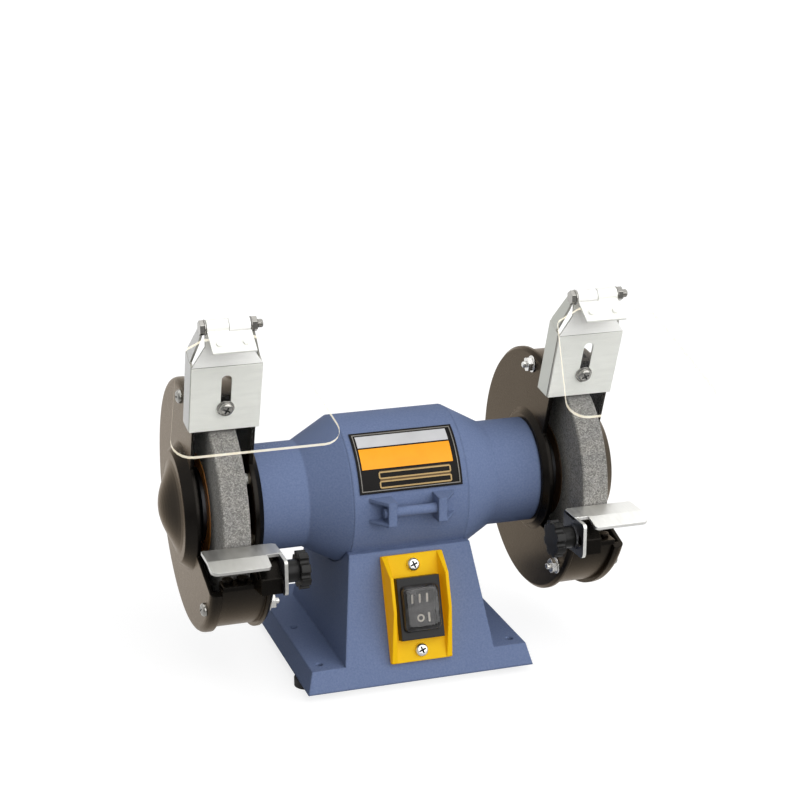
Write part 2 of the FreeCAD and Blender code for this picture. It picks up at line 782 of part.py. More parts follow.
shelf = common(
    "shelf",
    block("shelf_box", plate_face, -guard_radius, shelf_top - S.shelf_thickness,
          rim_end - plate_face, guard_radius - shelf_reach, S.shelf_thickness),
    rod("shelf_limit", rim_radius - S.guard_wall / 2, rim_end - plate_face, plate_face, 0, axis))
spark_low = S.wheel_radius + S.spark_gap
spark_screw_at = spark_low + S.spark_screw_height
tab_solid = block(
    "tab_solid", plate_face, -S.spark_offset, spark_low, rim_end - plate_face, S.tab_thickness,
    guard_radius + S.tab_height - spark_low)
spark_in = plate_face - S.spark_side_gap - S.spark_sheet
spark_out = cover_face + S.spark_side_gap + S.spark_sheet
spark_middle = (spark_in + spark_out) / 2
tab_hole = rod_back(
    "tab_hole", S.spark_screw_radius + S.fit, 2 * S.spark_offset,
    spark_middle, -2 * S.spark_offset, spark_screw_at)
tab = place(group("tab", cut("tab_drilled", tab_solid, tab_hole)), 0, 0, axis, Vector(1, 0, 0), S.spark_tilt)
bracket_bolt_places = [wheel_in + S.bracket_bolt_near, wheel_in + S.bracket_bolt_far]
bracket_bolt_holes = [
    rod_up("bracket_bolt_hole_%d" % i, S.bracket_bolt_radius + S.fit,
           S.shelf_thickness + S.bracket_thickness, x, -bracket_bolt_reach, shelf_top - S.shelf_thickness)
    for i, x in enumerate(bracket_bolt_places)]
inner_guard = node("right_inner_guard", cut(
    "right_inner_guard",
    fuse("inner_guard_solid", cut("inner_guard_open", inner_guard_body, mouth_inner),
         shelf, tab, *cover_bolt_bosses),
    *cover_bolt_holes, *guard_screw_holes, *bracket_bolt_holes))
mirror("left_inner_guard", inner_guard)

# the cover's dome is full in the middle and runs out softly on to the boss
wall = S.cover_wall
dome_rise = dome_top - boss_face
DOME_STEPS = 10
dome_points = []
dome_inside = []
for step in range(DOME_STEPS + 1):
    share = step / DOME_STEPS
    lift = (1 - (1 - share) ** 2) ** 1.5
    dome_points.append((boss_face + dome_rise * lift, S.dome_radius * (1 - share)))
    dome_inside.append((boss_face - wall + dome_rise * lift, (S.dome_radius - wall * 0.5) * (1 - share)))
# the outer rim of the cover is rounded over
EDGE_STEPS = 4
edge_points = []
for step in range(EDGE_STEPS + 1):
    turn = math.pi / 2 * step / EDGE_STEPS
    edge_points.append((
        cover_face - S.cover_edge * (1 - math.sin(turn)),
        guard_radius - S.cover_edge * (1 - math.cos(turn))))
cover_body = turned("cover_body", [(rim_end, guard_radius)] + edge_points + [
    (cover_face, S.boss_radius),
    (boss_face, S.boss_radius - S.boss_slope)]
    + dome_points + list(reversed(dome_inside)) + [
    (boss_face - wall, S.boss_radius - S.boss_slope - wall * 0.5),
    (cover_face - wall, S.boss_radius - wall * 0.5),
    (cover_face - wall, rim_radius - S.guard_wall),
    (rim_end, rim_radius - S.guard_wall)])
guard_cover = node("right_guard_cover", cut("right_guard_cover", cover_body, mouth_outer, *cover_bolt_holes))
mirror("left_guard_cover", guard_cover)

# fasteners of the guards, on both sides
side_bolts = []
side_nuts = []
for i, (y, z) in enumerate(cover_bolt_places):
    side_bolts.append(fuse(
        "cover_bolt_%d" % i,
        rod("cover_bolt_shank_%d" % i, S.cover_bolt_radius, cover_face - neck_face, neck_face, y, z),
        rod("cover_bolt_head_%d" % i, S.screw_head_radius, S.screw_head_height, cover_face, y, z)))
    nut = hexagon("cover_nut_%d" % i, 2 * S.cover_bolt_radius * 1.75, S.hub_step * 0.8,
                  plate_face - S.hub_step * 0.8, y, z)
    side_nuts.append(cut("cover_nut_drilled_%d" % i, nut, rod(
        "cover_nut_hole_%d" % i, S.cover_bolt_radius + S.fit, S.hub_step, plate_face - S.hub_step, y, z)))


def both_sides(label, shapes):
    right = group(label + "_right", *shapes)
    left = doc.addObject("Part::Mirroring", label + "_left")
    left.Source = right
    left.Base = Vector(0, 0, 0)
    left.Normal = Vector(1, 0, 0)
    return node(label, group(label, right, left))


both_sides("guard_cover_screws", side_bolts)
both_sides("guard_cover_nuts", side_nuts)
both_sides("guard_mount_screws", [
    fuse(
        "guard_screw_%d" % i,
        rod("guard_screw_shank_%d" % i, S.guard_screw_radius,
            plate_inside - neck_face + S.guard_screw_depth - 1, neck_face - S.guard_screw_depth + 1, y, z),
        rod("guard_screw_head_%d" % i, 1.6 * S.guard_screw_radius, S.guard_screw_radius, plate_inside, y, z))
    for i, (y, z) in enumerate(guard_screw_places)])

# tool rest, its bracket and its clamp knob
cheek_in = plate_face - S.rest_setback
cheek_out = cheek_in + S.rest_sheet
rest_top = axis - S.rest_drop
rest_back = root(S.wheel_radius * S.wheel_radius - S.rest_drop * S.rest_drop) + S.rest_gap
rest_bend = rest_back + S.rest_depth
knob_z = rest_top - S.knob_below_rest
knob_reach = rest_back + S.knob_setback
slot_radius = S.stud_radius + S.slot_play

# the plate and the cheek have their inner back corner taken off
rest_plate = place(padded("rest_plate", "XY_Plane", [
    (cheek_in, -rest_back - S.rest_corner), (cheek_in, -rest_bend),
    (cheek_in + S.rest_width, -rest_bend), (cheek_in + S.rest_width, -rest_back),
    (cheek_in + S.rest_corner, -rest_back)], S.rest_sheet), 0, 0, rest_top - S.rest_sheet)
rest_lip = prism_x("rest_lip", [
    (-rest_bend + S.rest_sheet / 2, rest_top), (-rest_bend, rest_top),
    (-rest_bend - S.lip_reach, rest_top - S.lip_drop),
    (-rest_bend - S.lip_reach, rest_top - S.lip_drop - S.rest_sheet),
    (-rest_bend + S.rest_sheet / 2, rest_top - S.rest_sheet)],
    cheek_in + S.lip_notch, S.rest_width - S.lip_notch)
cheek_front = rest_back + S.cheek_reach
rest_cheek = prism_x("rest_cheek", [
    (-rest_back - S.rest_corner, rest_top), (-cheek_front, rest_top),
    (-cheek_front, rest_top - S.cheek_height), (-rest_back, rest_top - S.cheek_height),
    (-rest_back, rest_top - S.rest_corner)], cheek_in, S.rest_sheet)
rest_slot = fuse(
    "rest_slot",
    block("rest_slot_box", cheek_in, -knob_reach - S.slot_half_length, knob_z - slot_radius,
          S.rest_sheet, 2 * S.slot_half_length, 2 * slot_radius),
    rod("rest_slot_front", slot_radius, S.rest_sheet, cheek_in, -knob_reach - S.slot_half_length, knob_z),
    rod("rest_slot_back", slot_radius, S.rest_sheet, cheek_in, -knob_reach + S.slot_half_length, knob_z))
tool_rest = node("right_tool_rest", cut(
    "right_tool_rest", fuse("tool_rest_solid", rest_plate, rest_lip, rest_cheek), rest_slot))
mirror("left_tool_rest", tool_rest)

bracket_top = shelf_top + S.bracket_thickness
ear_top = rest_top - S.rest_sheet - S.ear_top_gap
ear_back = knob_reach - S.ear_behind
ear_front = knob_reach + S.ear_ahead
bracket_foot = block(
    "bracket_foot", plate_inside + S.joint_gap, -bracket_front, shelf_top,
    rim_end - plate_inside - 2 * S.joint_gap, bracket_front - bracket_back, S.bracket_thickness)
bracket_ear = prism_x("bracket_ear", [
    (-ear_back, shelf_top + S.joint_gap), (-ear_back, ear_top), (-knob_reach, ear_top),
    (-ear_front, knob_z), (-ear_front, bracket_top + S.joint_gap),
    (-bracket_front, shelf_top + S.joint_gap)], cheek_out, S.ear_width)
rest_bracket = node("right_rest_bracket", cut(
    "right_rest_bracket", fuse("rest_bracket_solid", bracket_foot, bracket_ear),
    rod("ear_hole", S.stud_radius + S.running_fit, S.ear_width, cheek_out, -knob_reach, knob_z),
    *bracket_bolt_holes))
mirror("left_rest_bracket", rest_bracket)
both_sides("rest_bracket_bolts", [
    fuse(
        "bracket_bolt_%d" % i,
        rod_up("bracket_bolt_shank_%d" % i, S.bracket_bolt_radius, S.shelf_thickness + S.bracket_thickness,
               x, -bracket_bolt_reach, shelf_top - S.shelf_thickness),
        rod_up("bracket_bolt_head_%d" % i, 1.6 * S.bracket_bolt_radius, S.bracket_bolt_radius,
               x, -bracket_bolt_reach, bracket_top))
    for i, x in enumerate(bracket_bolt_places)])

washer_in = cheek_in - S.washer_thickness
washer = node("right_rest_washer", cut(
    "right_rest_washer",
    rod("washer_disc", S.washer_radius, S.washer_thickness, washer_in, -knob_reach, knob_z),
    rod("washer_hole", S.stud_radius + S.running_fit, S.washer_thickness, washer_in, -knob_reach, knob_z)))
mirror("left_rest_washer", washer)
knob_in = washer_in - S.knob_hub_length - S.knob_thickness
FLUTES = 8
flutes = []
for i in range(FLUTES):
    turn = 2 * math.pi * i / FLUTES
    flutes.append(rod(
        "knob_flute_%d" % i, S.knob_flute, S.knob_thickness, knob_in,
        -knob_reach + S.knob_radius * math.cos(turn), knob_z + S.knob_radius * math.sin(turn)))
knob = node("right_rest_knob", fuse(
    "right_rest_knob",
    cut("knob_head", rod(
        "knob_disc", S.knob_radius, S.knob_thickness, knob_in, -knob_reach, knob_z), *flutes),
    rod("knob_hub", S.knob_hub_radius, S.knob_hub_length,
        washer_in - S.knob_hub_length, -knob_reach, knob_z),
    rod("knob_stud", S.stud_radius, S.stud_length + S.knob_hub_length / 2,
        washer_in - S.knob_hub_length / 2, -knob_reach, knob_z)))
mirror("left_rest_knob", knob)

# spark bracket: drawn upright about the shaft axis, then leaned forward
spark_front = S.spark_offset + S.spark_sheet
spark_high = spark_low + S.spark_height
spark_plate = block(
    "spark_plate", spark_in, -spark_front, spark_low, spark_out - spark_in, S.spark_sheet, S.spark_height)
side_outline = [
    (-spark_front, spark_low), (-spark_front, spark_high),
    (S.spark_side_depth - spark_front, spark_high + S.spark_sheet),
    (S.spark_side_depth - spark_front, spark_low - S.spark_side_dip)]
spark_side_in = prism_x("spark_side_in", side_outline, spark_in, S.spark_sheet)
spark_side_out = prism_x("spark_side_out", side_outline, spark_out - S.spark_sheet, S.spark_sheet)
half_plate = (spark_out - spark_in) / 2
# the neck runs on behind the hinge barrel and touches it all the way up
neck_sine = sine(S.neck_tilt)
neck_cosine = cosine(S.neck_tilt)
sheet_middle = S.spark_offset + S.spark_sheet / 2
barrel_lead = S.knuckle_radius - S.spark_sheet / 2
hinge_y = (S.hinge_rise * neck_sine - barrel_lead) / neck_cosine - sheet_middle
hinge_z = spark_high + S.hinge_rise
neck_tongue = S.hinge_rise * neck_cosine + (hinge_y + sheet_middle) * neck_sine
spark_neck = place(
    padded("spark_neck", "XZ_Plane", [
        (-half_plate, -S.spark_sheet / 2), (half_plate, -S.spark_sheet / 2),
        (S.neck_half_width, S.neck_shoulder), (S.neck_half_width, neck_tongue),
        (-S.neck_half_width, neck_tongue), (-S.neck_half_width, S.neck_shoulder)], S.spark_sheet),
    spark_middle, -S.spark_offset, spark_high, Vector(1, 0, 0), -S.neck_tilt)
barrel = rod("barrel", S.knuckle_radius, S.neck_half_width - S.joint_gap / 2,
             spark_middle - S.neck_half_width, hinge_y, hinge_z)
flap_room = block(
    "flap_room", spark_middle - S.joint_gap / 2, hinge_y - 2 * S.knuckle_radius,
    hinge_z - S.knuckle_radius - 2 * S.joint_gap, 2 * S.neck_half_width, 4 * S.knuckle_radius,
    4 * S.knuckle_radius)
slot_half = S.spark_screw_radius + S.slot_play
spark_slot = fuse(
    "spark_slot",
    block("spark_slot_box", spark_middle - slot_half, -spark_front, spark_low + S.spark_slot_low + slot_half,
          2 * slot_half, S.spark_sheet, S.spark_slot_high - S.spark_slot_low - 2 * slot_half),
    rod_back("spark_slot_low_end", slot_half, S.spark_sheet, spark_middle, -spark_front,
             spark_low + S.spark_slot_low + slot_half),
    rod_back("spark_slot_high_end", slot_half, S.spark_sheet, spark_middle, -spark_front,
             spark_low + S.spark_slot_high - slot_half))
hinge_hole = rod(
    "hinge_hole", S.hinge_bolt_radius + S.running_fit, 2 * S.neck_half_width,
    spark_middle - S.neck_half_width, hinge_y, hinge_z)
neck_open = cut("neck_open", spark_neck, flap_room)
spark_bracket = node("right_spark_bracket", place(
    group("right_spark_bracket", cut(
        "spark_bracket_solid",
        fuse("spark_sheet_metal", spark_plate, spark_side_in, spark_side_out, neck_open, barrel),
        spark_slot, hinge_hole)),
    0, 0, axis, Vector(1, 0, 0), S.spark_tilt))
mirror("left_spark_bracket", spark_bracket)
spark_washer = S.spark_screw_radius * 0.4
spark_screw = place(
    group("spark_screw_leaned", fuse(
        "spark_screw",
        rod_back("spark_screw_shank", S.spark_screw_radius, S.spark_sheet + S.tab_thickness,
                 spark_middle, -spark_front, spark_screw_at),
        rod_back("spark_screw_washer", 2 * S.spark_screw_radius, spark_washer,
                 spark_middle, -spark_front - spark_washer, spark_screw_at),
        rod_back("spark_screw_head", 1.7 * S.spark_screw_radius, S.spark_screw_radius,
                 spark_middle, -spark_front - spark_washer - S.spark_screw_radius, spark_screw_at))),
    0, 0, axis, Vector(1, 0, 0), S.spark_tilt)
both_sides("spark_guard_screws", [spark_screw])

# hinge bolt: head at the -X end on both sides, nut at the +X end
hinge_gy = hinge_y * cosine(S.spark_tilt) - hinge_z * sine(S.spark_tilt)
hinge_gz = axis + hinge_y * sine(S.spark_tilt) + hinge_z * cosine(S.spark_tilt)
bolt_span = 2 * S.neck_half_width + 2 * S.joint_gap
for word, middle in (("right", spark_middle), ("left", -spark_middle)):
    start = middle - S.neck_half_width - S.joint_gap
    node(word + "_hinge_bolt", fuse(
        word + "_hinge_bolt",
        rod(word + "_bolt_shank", S.hinge_bolt_radius, bolt_span + S.bolt_head + S.hinge_bolt_end,
            start, hinge_gy, hinge_gz),
        hexagon(word + "_bolt_head", S.bolt_flats, S.bolt_head, start - S.bolt_head, hinge_gy, hinge_gz),
        hexagon(word + "_bolt_nut", S.bolt_flats, S.bolt_head, start + bolt_span, hinge_gy, hinge_gz)))

# shield flap and eye shield: drawn flat about the hinge, then tilted down to the front
leaf_low = -S.joint_gap
leaf = block(
    "leaf", spark_middle - S.neck_half_width, -S.leaf_reach, leaf_low,
    2 * S.neck_half_width, S.leaf_reach - S.knuckle_radius - 2 * S.joint_gap, S.leaf_thickness)
leaf_web = block(
    "leaf_web", spark_middle + S.joint_gap / 2, -S.knuckle_radius - 3 * S.joint_gap, leaf_low,
    S.neck_half_width - S.joint_gap / 2, S.knuckle_radius, S.leaf_thickness)
flap_barrel = rod(
    "flap_barrel", S.knuckle_radius, S.neck_half_width - S.joint_gap / 2,
    spark_middle + S.joint_gap / 2, 0, 0)
flap_hole = rod(
    "flap_hole", S.hinge_bolt_radius + S.running_fit, 2 * S.neck_half_width,
    spark_middle - S.neck_half_width, 0, 0)
rivet_y = -(S.leaf_reach + S.shield_top) / 2
rivet_radius = S.leaf_thickness * 1.5
rivet_low = leaf_low - S.shield_thickness
rivet_places = [spark_middle - S.neck_half_width * 0.6, spark_middle + S.neck_half_width * 0.6]
rivets = [
    rod_up("rivet_%d" % i, rivet_radius, S.shield_thickness + 2 * S.leaf_thickness, x, rivet_y, rivet_low)
    for i, x in enumerate(rivet_places)]
flap = node("right_shield_flap", place(
    group("right_shield_flap", fuse(
        "flap_solid",
        cut("flap_drilled", fuse("flap_metal", leaf, leaf_web, flap_barrel), flap_hole), *rivets)),
    0, hinge_gy, hinge_gz, Vector(1, 0, 0), S.shield_tilt))
mirror("left_shield_flap", flap)
shield_body = padded("shield_body", "XY_Plane", [
    (-S.shield_tongue, -S.shield_top), (-S.shield_shoulder_half, -S.shield_shoulder),
    (-S.shield_half_width, -S.shield_reach), (S.shield_half_width, -S.shield_reach),
    (S.shield_shoulder_half, -S.shield_shoulder), (S.shield_tongue, -S.shield_top)], S.shield_thickness)
doc.recompute()
shield_pad = shield_body.Tip
far_edges = []
for i, e in enumerate(shield_pad.Shape.Edges, start=1):
    ends = [v.Point for v in e.Vertexes]
    upright = abs(ends[0].z - ends[1].z) > S.shield_thickness.value / 2
    if upright and abs(ends[0].y + S.shield_reach.value) < S.shield_corner.value / 10:
        far_edges.append("Edge%d" % i)
round_corners = shield_body.newObject("PartDesign::Fillet", "shield_round")
round_corners.Base = (shield_pad, far_edges)
bind(round_corners, "Radius", S.shield_corner)
shield_body.Tip = round_corners
place(shield_body, spark_middle + S.shield_shift, 0, rivet_low)
rivet_holes = [
    rod_up("rivet_hole_%d" % i, rivet_radius + S.fit, S.shield_thickness, x, rivet_y, rivet_low)
    for i, x in enumerate(rivet_places)]
shield = node("right_eye_shield", place(
    group("right_eye_shield", cut("shield_drilled", shield_body, *rivet_holes)),
    0, hinge_gy, hinge_gz, Vector(1, 0, 0), S.shield_tilt))
mirror("left_eye_shield", shield)


# switch group on the pedestal's front face, drawn upright with -Y outwards
def on_front(label, shape):
    return node(label, place(
        group(label, shape), 0, switch_y, switch_height, Vector(1, 0, 0), -front_slope))


plate_t = S.switch_plate_thickness

# each cheek rises from the top corner, runs level past the middle and falls to the bottom corner
cheek_top = -plate_t - S.switch_cheek_rise
cheek_outline = [
    (0, -switch_half_height), (-plate_t, -switch_half_height), (cheek_top, switch_half_height * -0.04),
    (cheek_top, switch_half_height * 0.6), (-plate_t, switch_half_height), (0, switch_half_height)]
opening_half_width = body_half_width + S.joint_gap
opening_half_height = body_half_height + S.joint_gap
on_front("switch_plate", cut(
    "switch_plate_solid",
    fuse(
        "switch_plate_blank",
        block("switch_plate_flat", -switch_half_width, -plate_t, -switch_half_height,
              2 * switch_half_width, plate_t, 2 * switch_half_height),
        prism_x("cheek_left", cheek_outline, -switch_half_width, S.switch_cheek_width),
        prism_x("cheek_right", cheek_outline, switch_half_width - S.switch_cheek_width,
                S.switch_cheek_width)),
    block("switch_plate_opening", -opening_half_width, -plate_t, -opening_half_height,
          2 * opening_half_width, plate_t, 2 * opening_half_height),
    *[rod_back("plate_hole_%s" % word, S.cover_bolt_radius + S.fit, plate_t, 0, -plate_t,
               side * switch_screw_spread) for word, side in (("low", -1), ("high", 1))]))
switch_screws = [
    fuse(
        "switch_screw_%s" % word,
        rod_back("switch_screw_shank_%s" % word, S.cover_bolt_radius, plate_t + S.pedestal_wall,
                 0, -plate_t, side * switch_screw_spread),
        rod_back("switch_screw_head_%s" % word, S.screw_head_radius, S.screw_head_height,
                 0, -plate_t - S.screw_head_height, side * switch_screw_spread))
    for word, side in (("low", -1), ("high", 1))]
on_front("switch_plate_screws", group("switch_screw_pair", *switch_screws))

bezel_front = plate_t + S.bezel_depth
rocker_y = -plate_t / 2
on_front("switch_body", cut(
    "switch_body_solid",
    fuse(
        "switch_body_blank",
        block("bezel", -bezel_half_width, -bezel_front, -bezel_half_height,
              2 * bezel_half_width, S.bezel_depth, 2 * bezel_half_height),
        block("switch_back", -body_half_width, -plate_t, -body_half_height,
              2 * body_half_width, S.switch_body_depth, 2 * body_half_height)),
    block("rocker_pocket", -pocket_half_width, -bezel_front, -pocket_half_height,
          2 * pocket_half_width, bezel_front + 2 * plate_t, 2 * pocket_half_height),
    rod("rocker_pivot_hole", S.rocker_pivot_radius + S.running_fit, 2 * body_half_width - 1,
        0.5 - body_half_width, rocker_y, 0)))
on_front("switch_rocker", fuse(
    "switch_rocker_solid",
    prism_x("rocker_paddle", [
        (plate_t / 2, -S.rocker_half_height), (-bezel_front + plate_t / 2, -S.rocker_half_height),
        (-bezel_front + plate_t / 2, 0), (-bezel_front - plate_t / 3, S.rocker_half_height),
        (plate_t / 2, S.rocker_half_height)], -S.rocker_half_width, 2 * S.rocker_half_width),
    rod("rocker_pivot", S.rocker_pivot_radius, 2 * body_half_width - 2,
        1 - body_half_width, rocker_y, 0)))
boot_half_width = S.rocker_half_width + S.boot_room + S.boot_wall
boot_half_height = S.rocker_half_height + S.boot_room + S.boot_wall
on_front("switch_boot", cut(
    "switch_boot_solid",
    block("boot_outside", -boot_half_width, -bezel_front - S.boot_depth, -boot_half_height,
          2 * boot_half_width, S.boot_depth, 2 * boot_half_height),
    block("boot_inside", S.boot_wall - boot_half_width, -bezel_front - S.boot_depth + S.boot_wall,
          S.boot_wall - boot_half_height, 2 * (boot_half_width - S.boot_wall),
          S.boot_depth - S.boot_wall, 2 * (boot_half_height - S.boot_wall))))

# nameplate wrapped on the drum, hanger pin between the lugs
plate_arc = doc.addObject("Part::Cylinder", "nameplate_arc")
bind(plate_arc, "Radius", S.drum_radius + S.running_fit + S.nameplate_thickness)
bind(plate_arc, "Height", 2 * S.nameplate_half_width)
bind(plate_arc, "Angle", S.nameplate_span_angle)
place(plate_arc, -S.nameplate_half_width, 0, 0, Vector(0, 1, 0), 90)
nameplate_core = rod(
    "nameplate_core", S.drum_radius + S.running_fit, 2 * S.nameplate_half_width,
    -S.nameplate_half_width, 0, 0)
node("nameplate", place(
    group("nameplate", cut("nameplate_shell", plate_arc, nameplate_core)),
    0, 0, axis, Vector(1, 0, 0), 180 + S.nameplate_top_angle))
node("hanger_pin", rod(
    "hanger_pin", S.pin_radius, 2 * (lug_out + S.pin_end), -lug_out - S.pin_end, -pin_reach, axis))

# feet, bottom cover, capacitor and cord gland
foot_front_side = S.base_half_width - S.foot_front_side_inset
foot_rear_side = S.base_half_width - S.foot_rear_side_inset
foot_front = S.foot_front_inset - S.base_front
foot_rear = S.base_rear - S.foot_rear_inset
foot_places = [
    (-foot_front_side, foot_front), (foot_front_side, foot_front),
    (-foot_rear_side, foot_rear), (foot_rear_side, foot_rear)]
feet = [rod_up("foot_%d" % i, S.foot_radius, S.foot_height, x, y, 0) for i, (x, y) in enumerate(foot_places)]
node("rubber_feet", group("rubber_feet", *feet))
cover_blank = block(
    "bottom_cover_blank", -plate_half, -plate_front, base_low, 2 * plate_half, plate_front + plate_rear,
    S.cover_plate)
node("bottom_cover", cut("bottom_cover", cover_blank, *[
    rod_up("bottom_cover_hole_%d" % i, S.guard_screw_radius + S.fit, S.cover_plate, x, y, base_low)
    for i, (x, y) in enumerate(plate_screw_places)]))
node("bottom_cover_screws", group("bottom_cover_screws", *[
    fuse(
        "bottom_screw_%d" % i,
        rod_up("bottom_screw_shank_%d" % i, S.guard_screw_radius, S.base_flange_thickness - 1,
               x, y, base_low),
        rod_up("bottom_screw_head_%d" % i, S.cover_plate_margin / 2, S.cover_plate,
               x, y, base_low - S.cover_plate))
    for i, (x, y) in enumerate(plate_screw_places)]))
cover_top = base_low + S.cover_plate
cap_z = cover_top + S.clip_sheet + S.cap_radius + S.fit
node("capacitor", rod("capacitor", S.cap_radius, S.cap_length, -S.cap_length / 2, S.cap_rear, cap_z))
clip_outer = S.cap_radius + S.fit + S.clip_sheet
clip_ring = fuse(
    "clip_ring",
    rod("clip_outside", clip_outer, S.clip_width, -S.clip_width / 2, S.cap_rear, cap_z),
    block("clip_foot", -S.clip_width / 2, S.cap_rear - 1.6 * clip_outer, cover_top,
          S.clip_width, 3.2 * clip_outer, S.clip_sheet))
node("capacitor_clip", cut(
    "capacitor_clip", clip_ring,
    rod("clip_inside", S.cap_radius + S.fit, S.clip_width, -S.clip_width / 2, S.cap_rear, cap_z)))
gland_solid = cut(
    "gland_solid",
    fuse(
        "gland_blank",
        rod_back("gland_shank", S.gland_radius, 2 * S.pedestal_wall, 0, -2 * S.pedestal_wall, 0),
        rod_back("gland_collar", S.gland_flange, S.gland_flange_thickness, 0, 0, 0)),
    rod_back("gland_bore", S.gland_radius / 2, 4 * S.pedestal_wall, 0, -2 * S.pedestal_wall, 0))
node("cord_gland", place(
    group("cord_gland", gland_solid), 0, gland_y, S.gland_height, Vector(1, 0, 0), rear_slope))

doc.recompute()
for obj in doc.Objects:
    faults = [word for word in obj.State if word in ("Invalid", "Error")]
    if faults:
        raise RuntimeError("%s did not build: %s" % (obj.Label, obj.State))
for label, obj in nodes.items():
    shape = obj.Shape
    if shape.isNull() or not shape.isValid() or shape.Volume <= 0 or not shape.Solids:
        raise RuntimeError("%s has no sound solid" % label)

os.makedirs("parts", exist_ok=True)
for label, obj in nodes.items():
    obj.Shape.exportStep("parts/%s.step" % label)
print(len(nodes), "nodes")
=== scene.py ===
import json
import math

import bmesh
import bpy
from mathutils import Matrix, Vector


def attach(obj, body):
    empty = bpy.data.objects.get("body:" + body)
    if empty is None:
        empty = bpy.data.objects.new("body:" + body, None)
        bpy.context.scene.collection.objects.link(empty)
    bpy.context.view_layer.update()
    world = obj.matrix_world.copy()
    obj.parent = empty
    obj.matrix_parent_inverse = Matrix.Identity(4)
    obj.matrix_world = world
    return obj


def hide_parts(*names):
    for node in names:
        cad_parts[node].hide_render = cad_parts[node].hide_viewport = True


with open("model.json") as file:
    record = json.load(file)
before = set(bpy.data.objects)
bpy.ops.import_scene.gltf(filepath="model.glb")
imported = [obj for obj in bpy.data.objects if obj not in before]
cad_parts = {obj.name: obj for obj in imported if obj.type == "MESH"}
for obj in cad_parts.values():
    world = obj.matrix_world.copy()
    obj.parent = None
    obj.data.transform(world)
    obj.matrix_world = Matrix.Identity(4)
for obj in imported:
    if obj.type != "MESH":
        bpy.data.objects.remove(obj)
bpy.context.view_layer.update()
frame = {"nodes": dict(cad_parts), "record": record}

nodes = frame["nodes"]
SIDES = (("left", -1), ("right", 1))

# sizes in millimetres, as in the part's source: y from the shaft and z from the bench, but the
# spark bracket's heights run from the shaft along its own lean
MM = 0.001
SETBACK = 23.5
AXIS_HEIGHT = 108.0
PLATE_FACE = 89.8
COVER_FACE = 126.6
NECK_FACE = 86.6
BOLT_CIRCLE = 68.5
BOLT_ANGLES = (95.0, 222.0, 340.0)
DRUM_RADIUS = 45.0
SPARK_TILT = 20.0
SPARK_OFFSET = 12.9
SPARK_SHEET = 1.5
SPARK_LOW = 63.8
SPARK_HIGH = 107.3
SPARK_IN = 88.0
SPARK_OUT = 128.4
SPARK_MIDDLE = 108.2
SPARK_SCREW = 79.3
SPARK_SIDE_BACK = 1.6
SPARK_SIDE_DIP = 3.5
SPARK_FRONT_DIP = 0.8
SPARK_FOLD_GAP = 0.7
STRUT_HEEL = 4.0
STRUT_LEAD = 1.0
STRUT_OVERLAP = 0.5
STRUT_WAIST = 0.62
SLOT_LOW = 73.3
SLOT_HIGH = 101.0
SLOT_HALF = 2.8
NECK_TILT = 17.7
NECK_SHOULDER = 11.6
NECK_HALF = 12.2
HINGE_RISE = 23.5
KNUCKLE_RADIUS = 4.2
HINGE_BOLT_RADIUS = 2.5
JOINT_GAP = 0.3
SHIELD_TILT = 33.3
SHIELD_SHIFT = 1.2
SHIELD_HALF = 47.5
SHIELD_THICKNESS = 2.0
SHIELD_TOP = 8.0
SHIELD_TONGUE = 14.0
SHIELD_SHOULDER = 16.6
SHIELD_SHOULDER_HALF = 30.0
SHIELD_REACH = 87.0
SHIELD_CORNER = 10.0
SHOULDER_CORNER = 4.0
RIVET_DROP = 14.0
RIVET_HOLE = 1.82
RIVET_SPREAD = 0.6 * NECK_HALF
SWITCH_HEIGHT = 46.9
PEDESTAL_FRONT = 64.5
PEDESTAL_TOP_FRONT = 40.0
PEDESTAL_LOW = 5.0
PEDESTAL_TOP = 80.2
SWITCH_HALF_WIDTH = 19.0
SWITCH_HALF_HEIGHT = 32.0
SWITCH_SHEET = 3.0
SWITCH_CORNER = 0.8
SWITCH_OPENING_HALF_WIDTH = 12.0
SWITCH_OPENING_HALF_HEIGHT = 16.0
SWITCH_SCREW_SPREAD = 25.5
SWITCH_SCREW_HOLE = 2.1
SWITCH_SCREW_DEPTH = 8.0
SWITCH_WALL_RISE = 11.0
BEZEL_FRONT = 10.0
BOOT_HALF_WIDTH = 11.7
BOOT_HALF_HEIGHT = 13.9
BOOT_DEPTH = 5.0
BOOT_CORNER = 3.0
ROCKER_HALF_HEIGHT = 11.2
ROCKER_RISE = 2.5
ROCKER_SINK = 1.5
MARK_PROUD = 0.12
MARK_BAR_HALF = 0.6
NAMEPLATE_HALF = 31.5
NAMEPLATE_TOP = 28.0
NAMEPLATE_SPAN = 49.0
NAMEPLATE_SEAT = 0.05
PLATE_BACK = 0.35
PLATE_FRAME = 0.80
PLATE_FRAME_WIDTH = 1.3
PLATE_LINE_WIDTH = 0.5
PLATE_PRINT = 0.45
PLATE_FIELD = 0.42
PLATE_BAR = 0.48
BAR_HEIGHT = 4.4
BAR_CORNER = 1.2
BAR_LINE_WIDTH = 0.85
REST_TOP = 103.0
REST_BACK = 64.0
REST_BEND = 80.8
REST_IN = 88.0
REST_OUT = 130.5
REST_SHEET = 2.0
REST_NOTCH = 8.6
REST_CORNER = 2.0
LIP_REACH = 11.0
LIP_DROP = 3.2
CHEEK_FRONT = 93.5
CHEEK_HEIGHT = 21.6
KNOB_REACH = 79.0
KNOB_HEIGHT = 91.0
REST_SLOT_RADIUS = 3.3
REST_SLOT_HALF = 9.0
REST_BEND_RADIUS = 3.0
LIP_INNER_CORNER = 2.0
LIP_OUTER_CORNER = 4.0
REST_OUTER_CORNER = 1.0
CHEEK_FRONT_CORNER = 2.0
CHEEK_LOW_CORNER = 4.0
FOLD_OVERLAP = 0.2

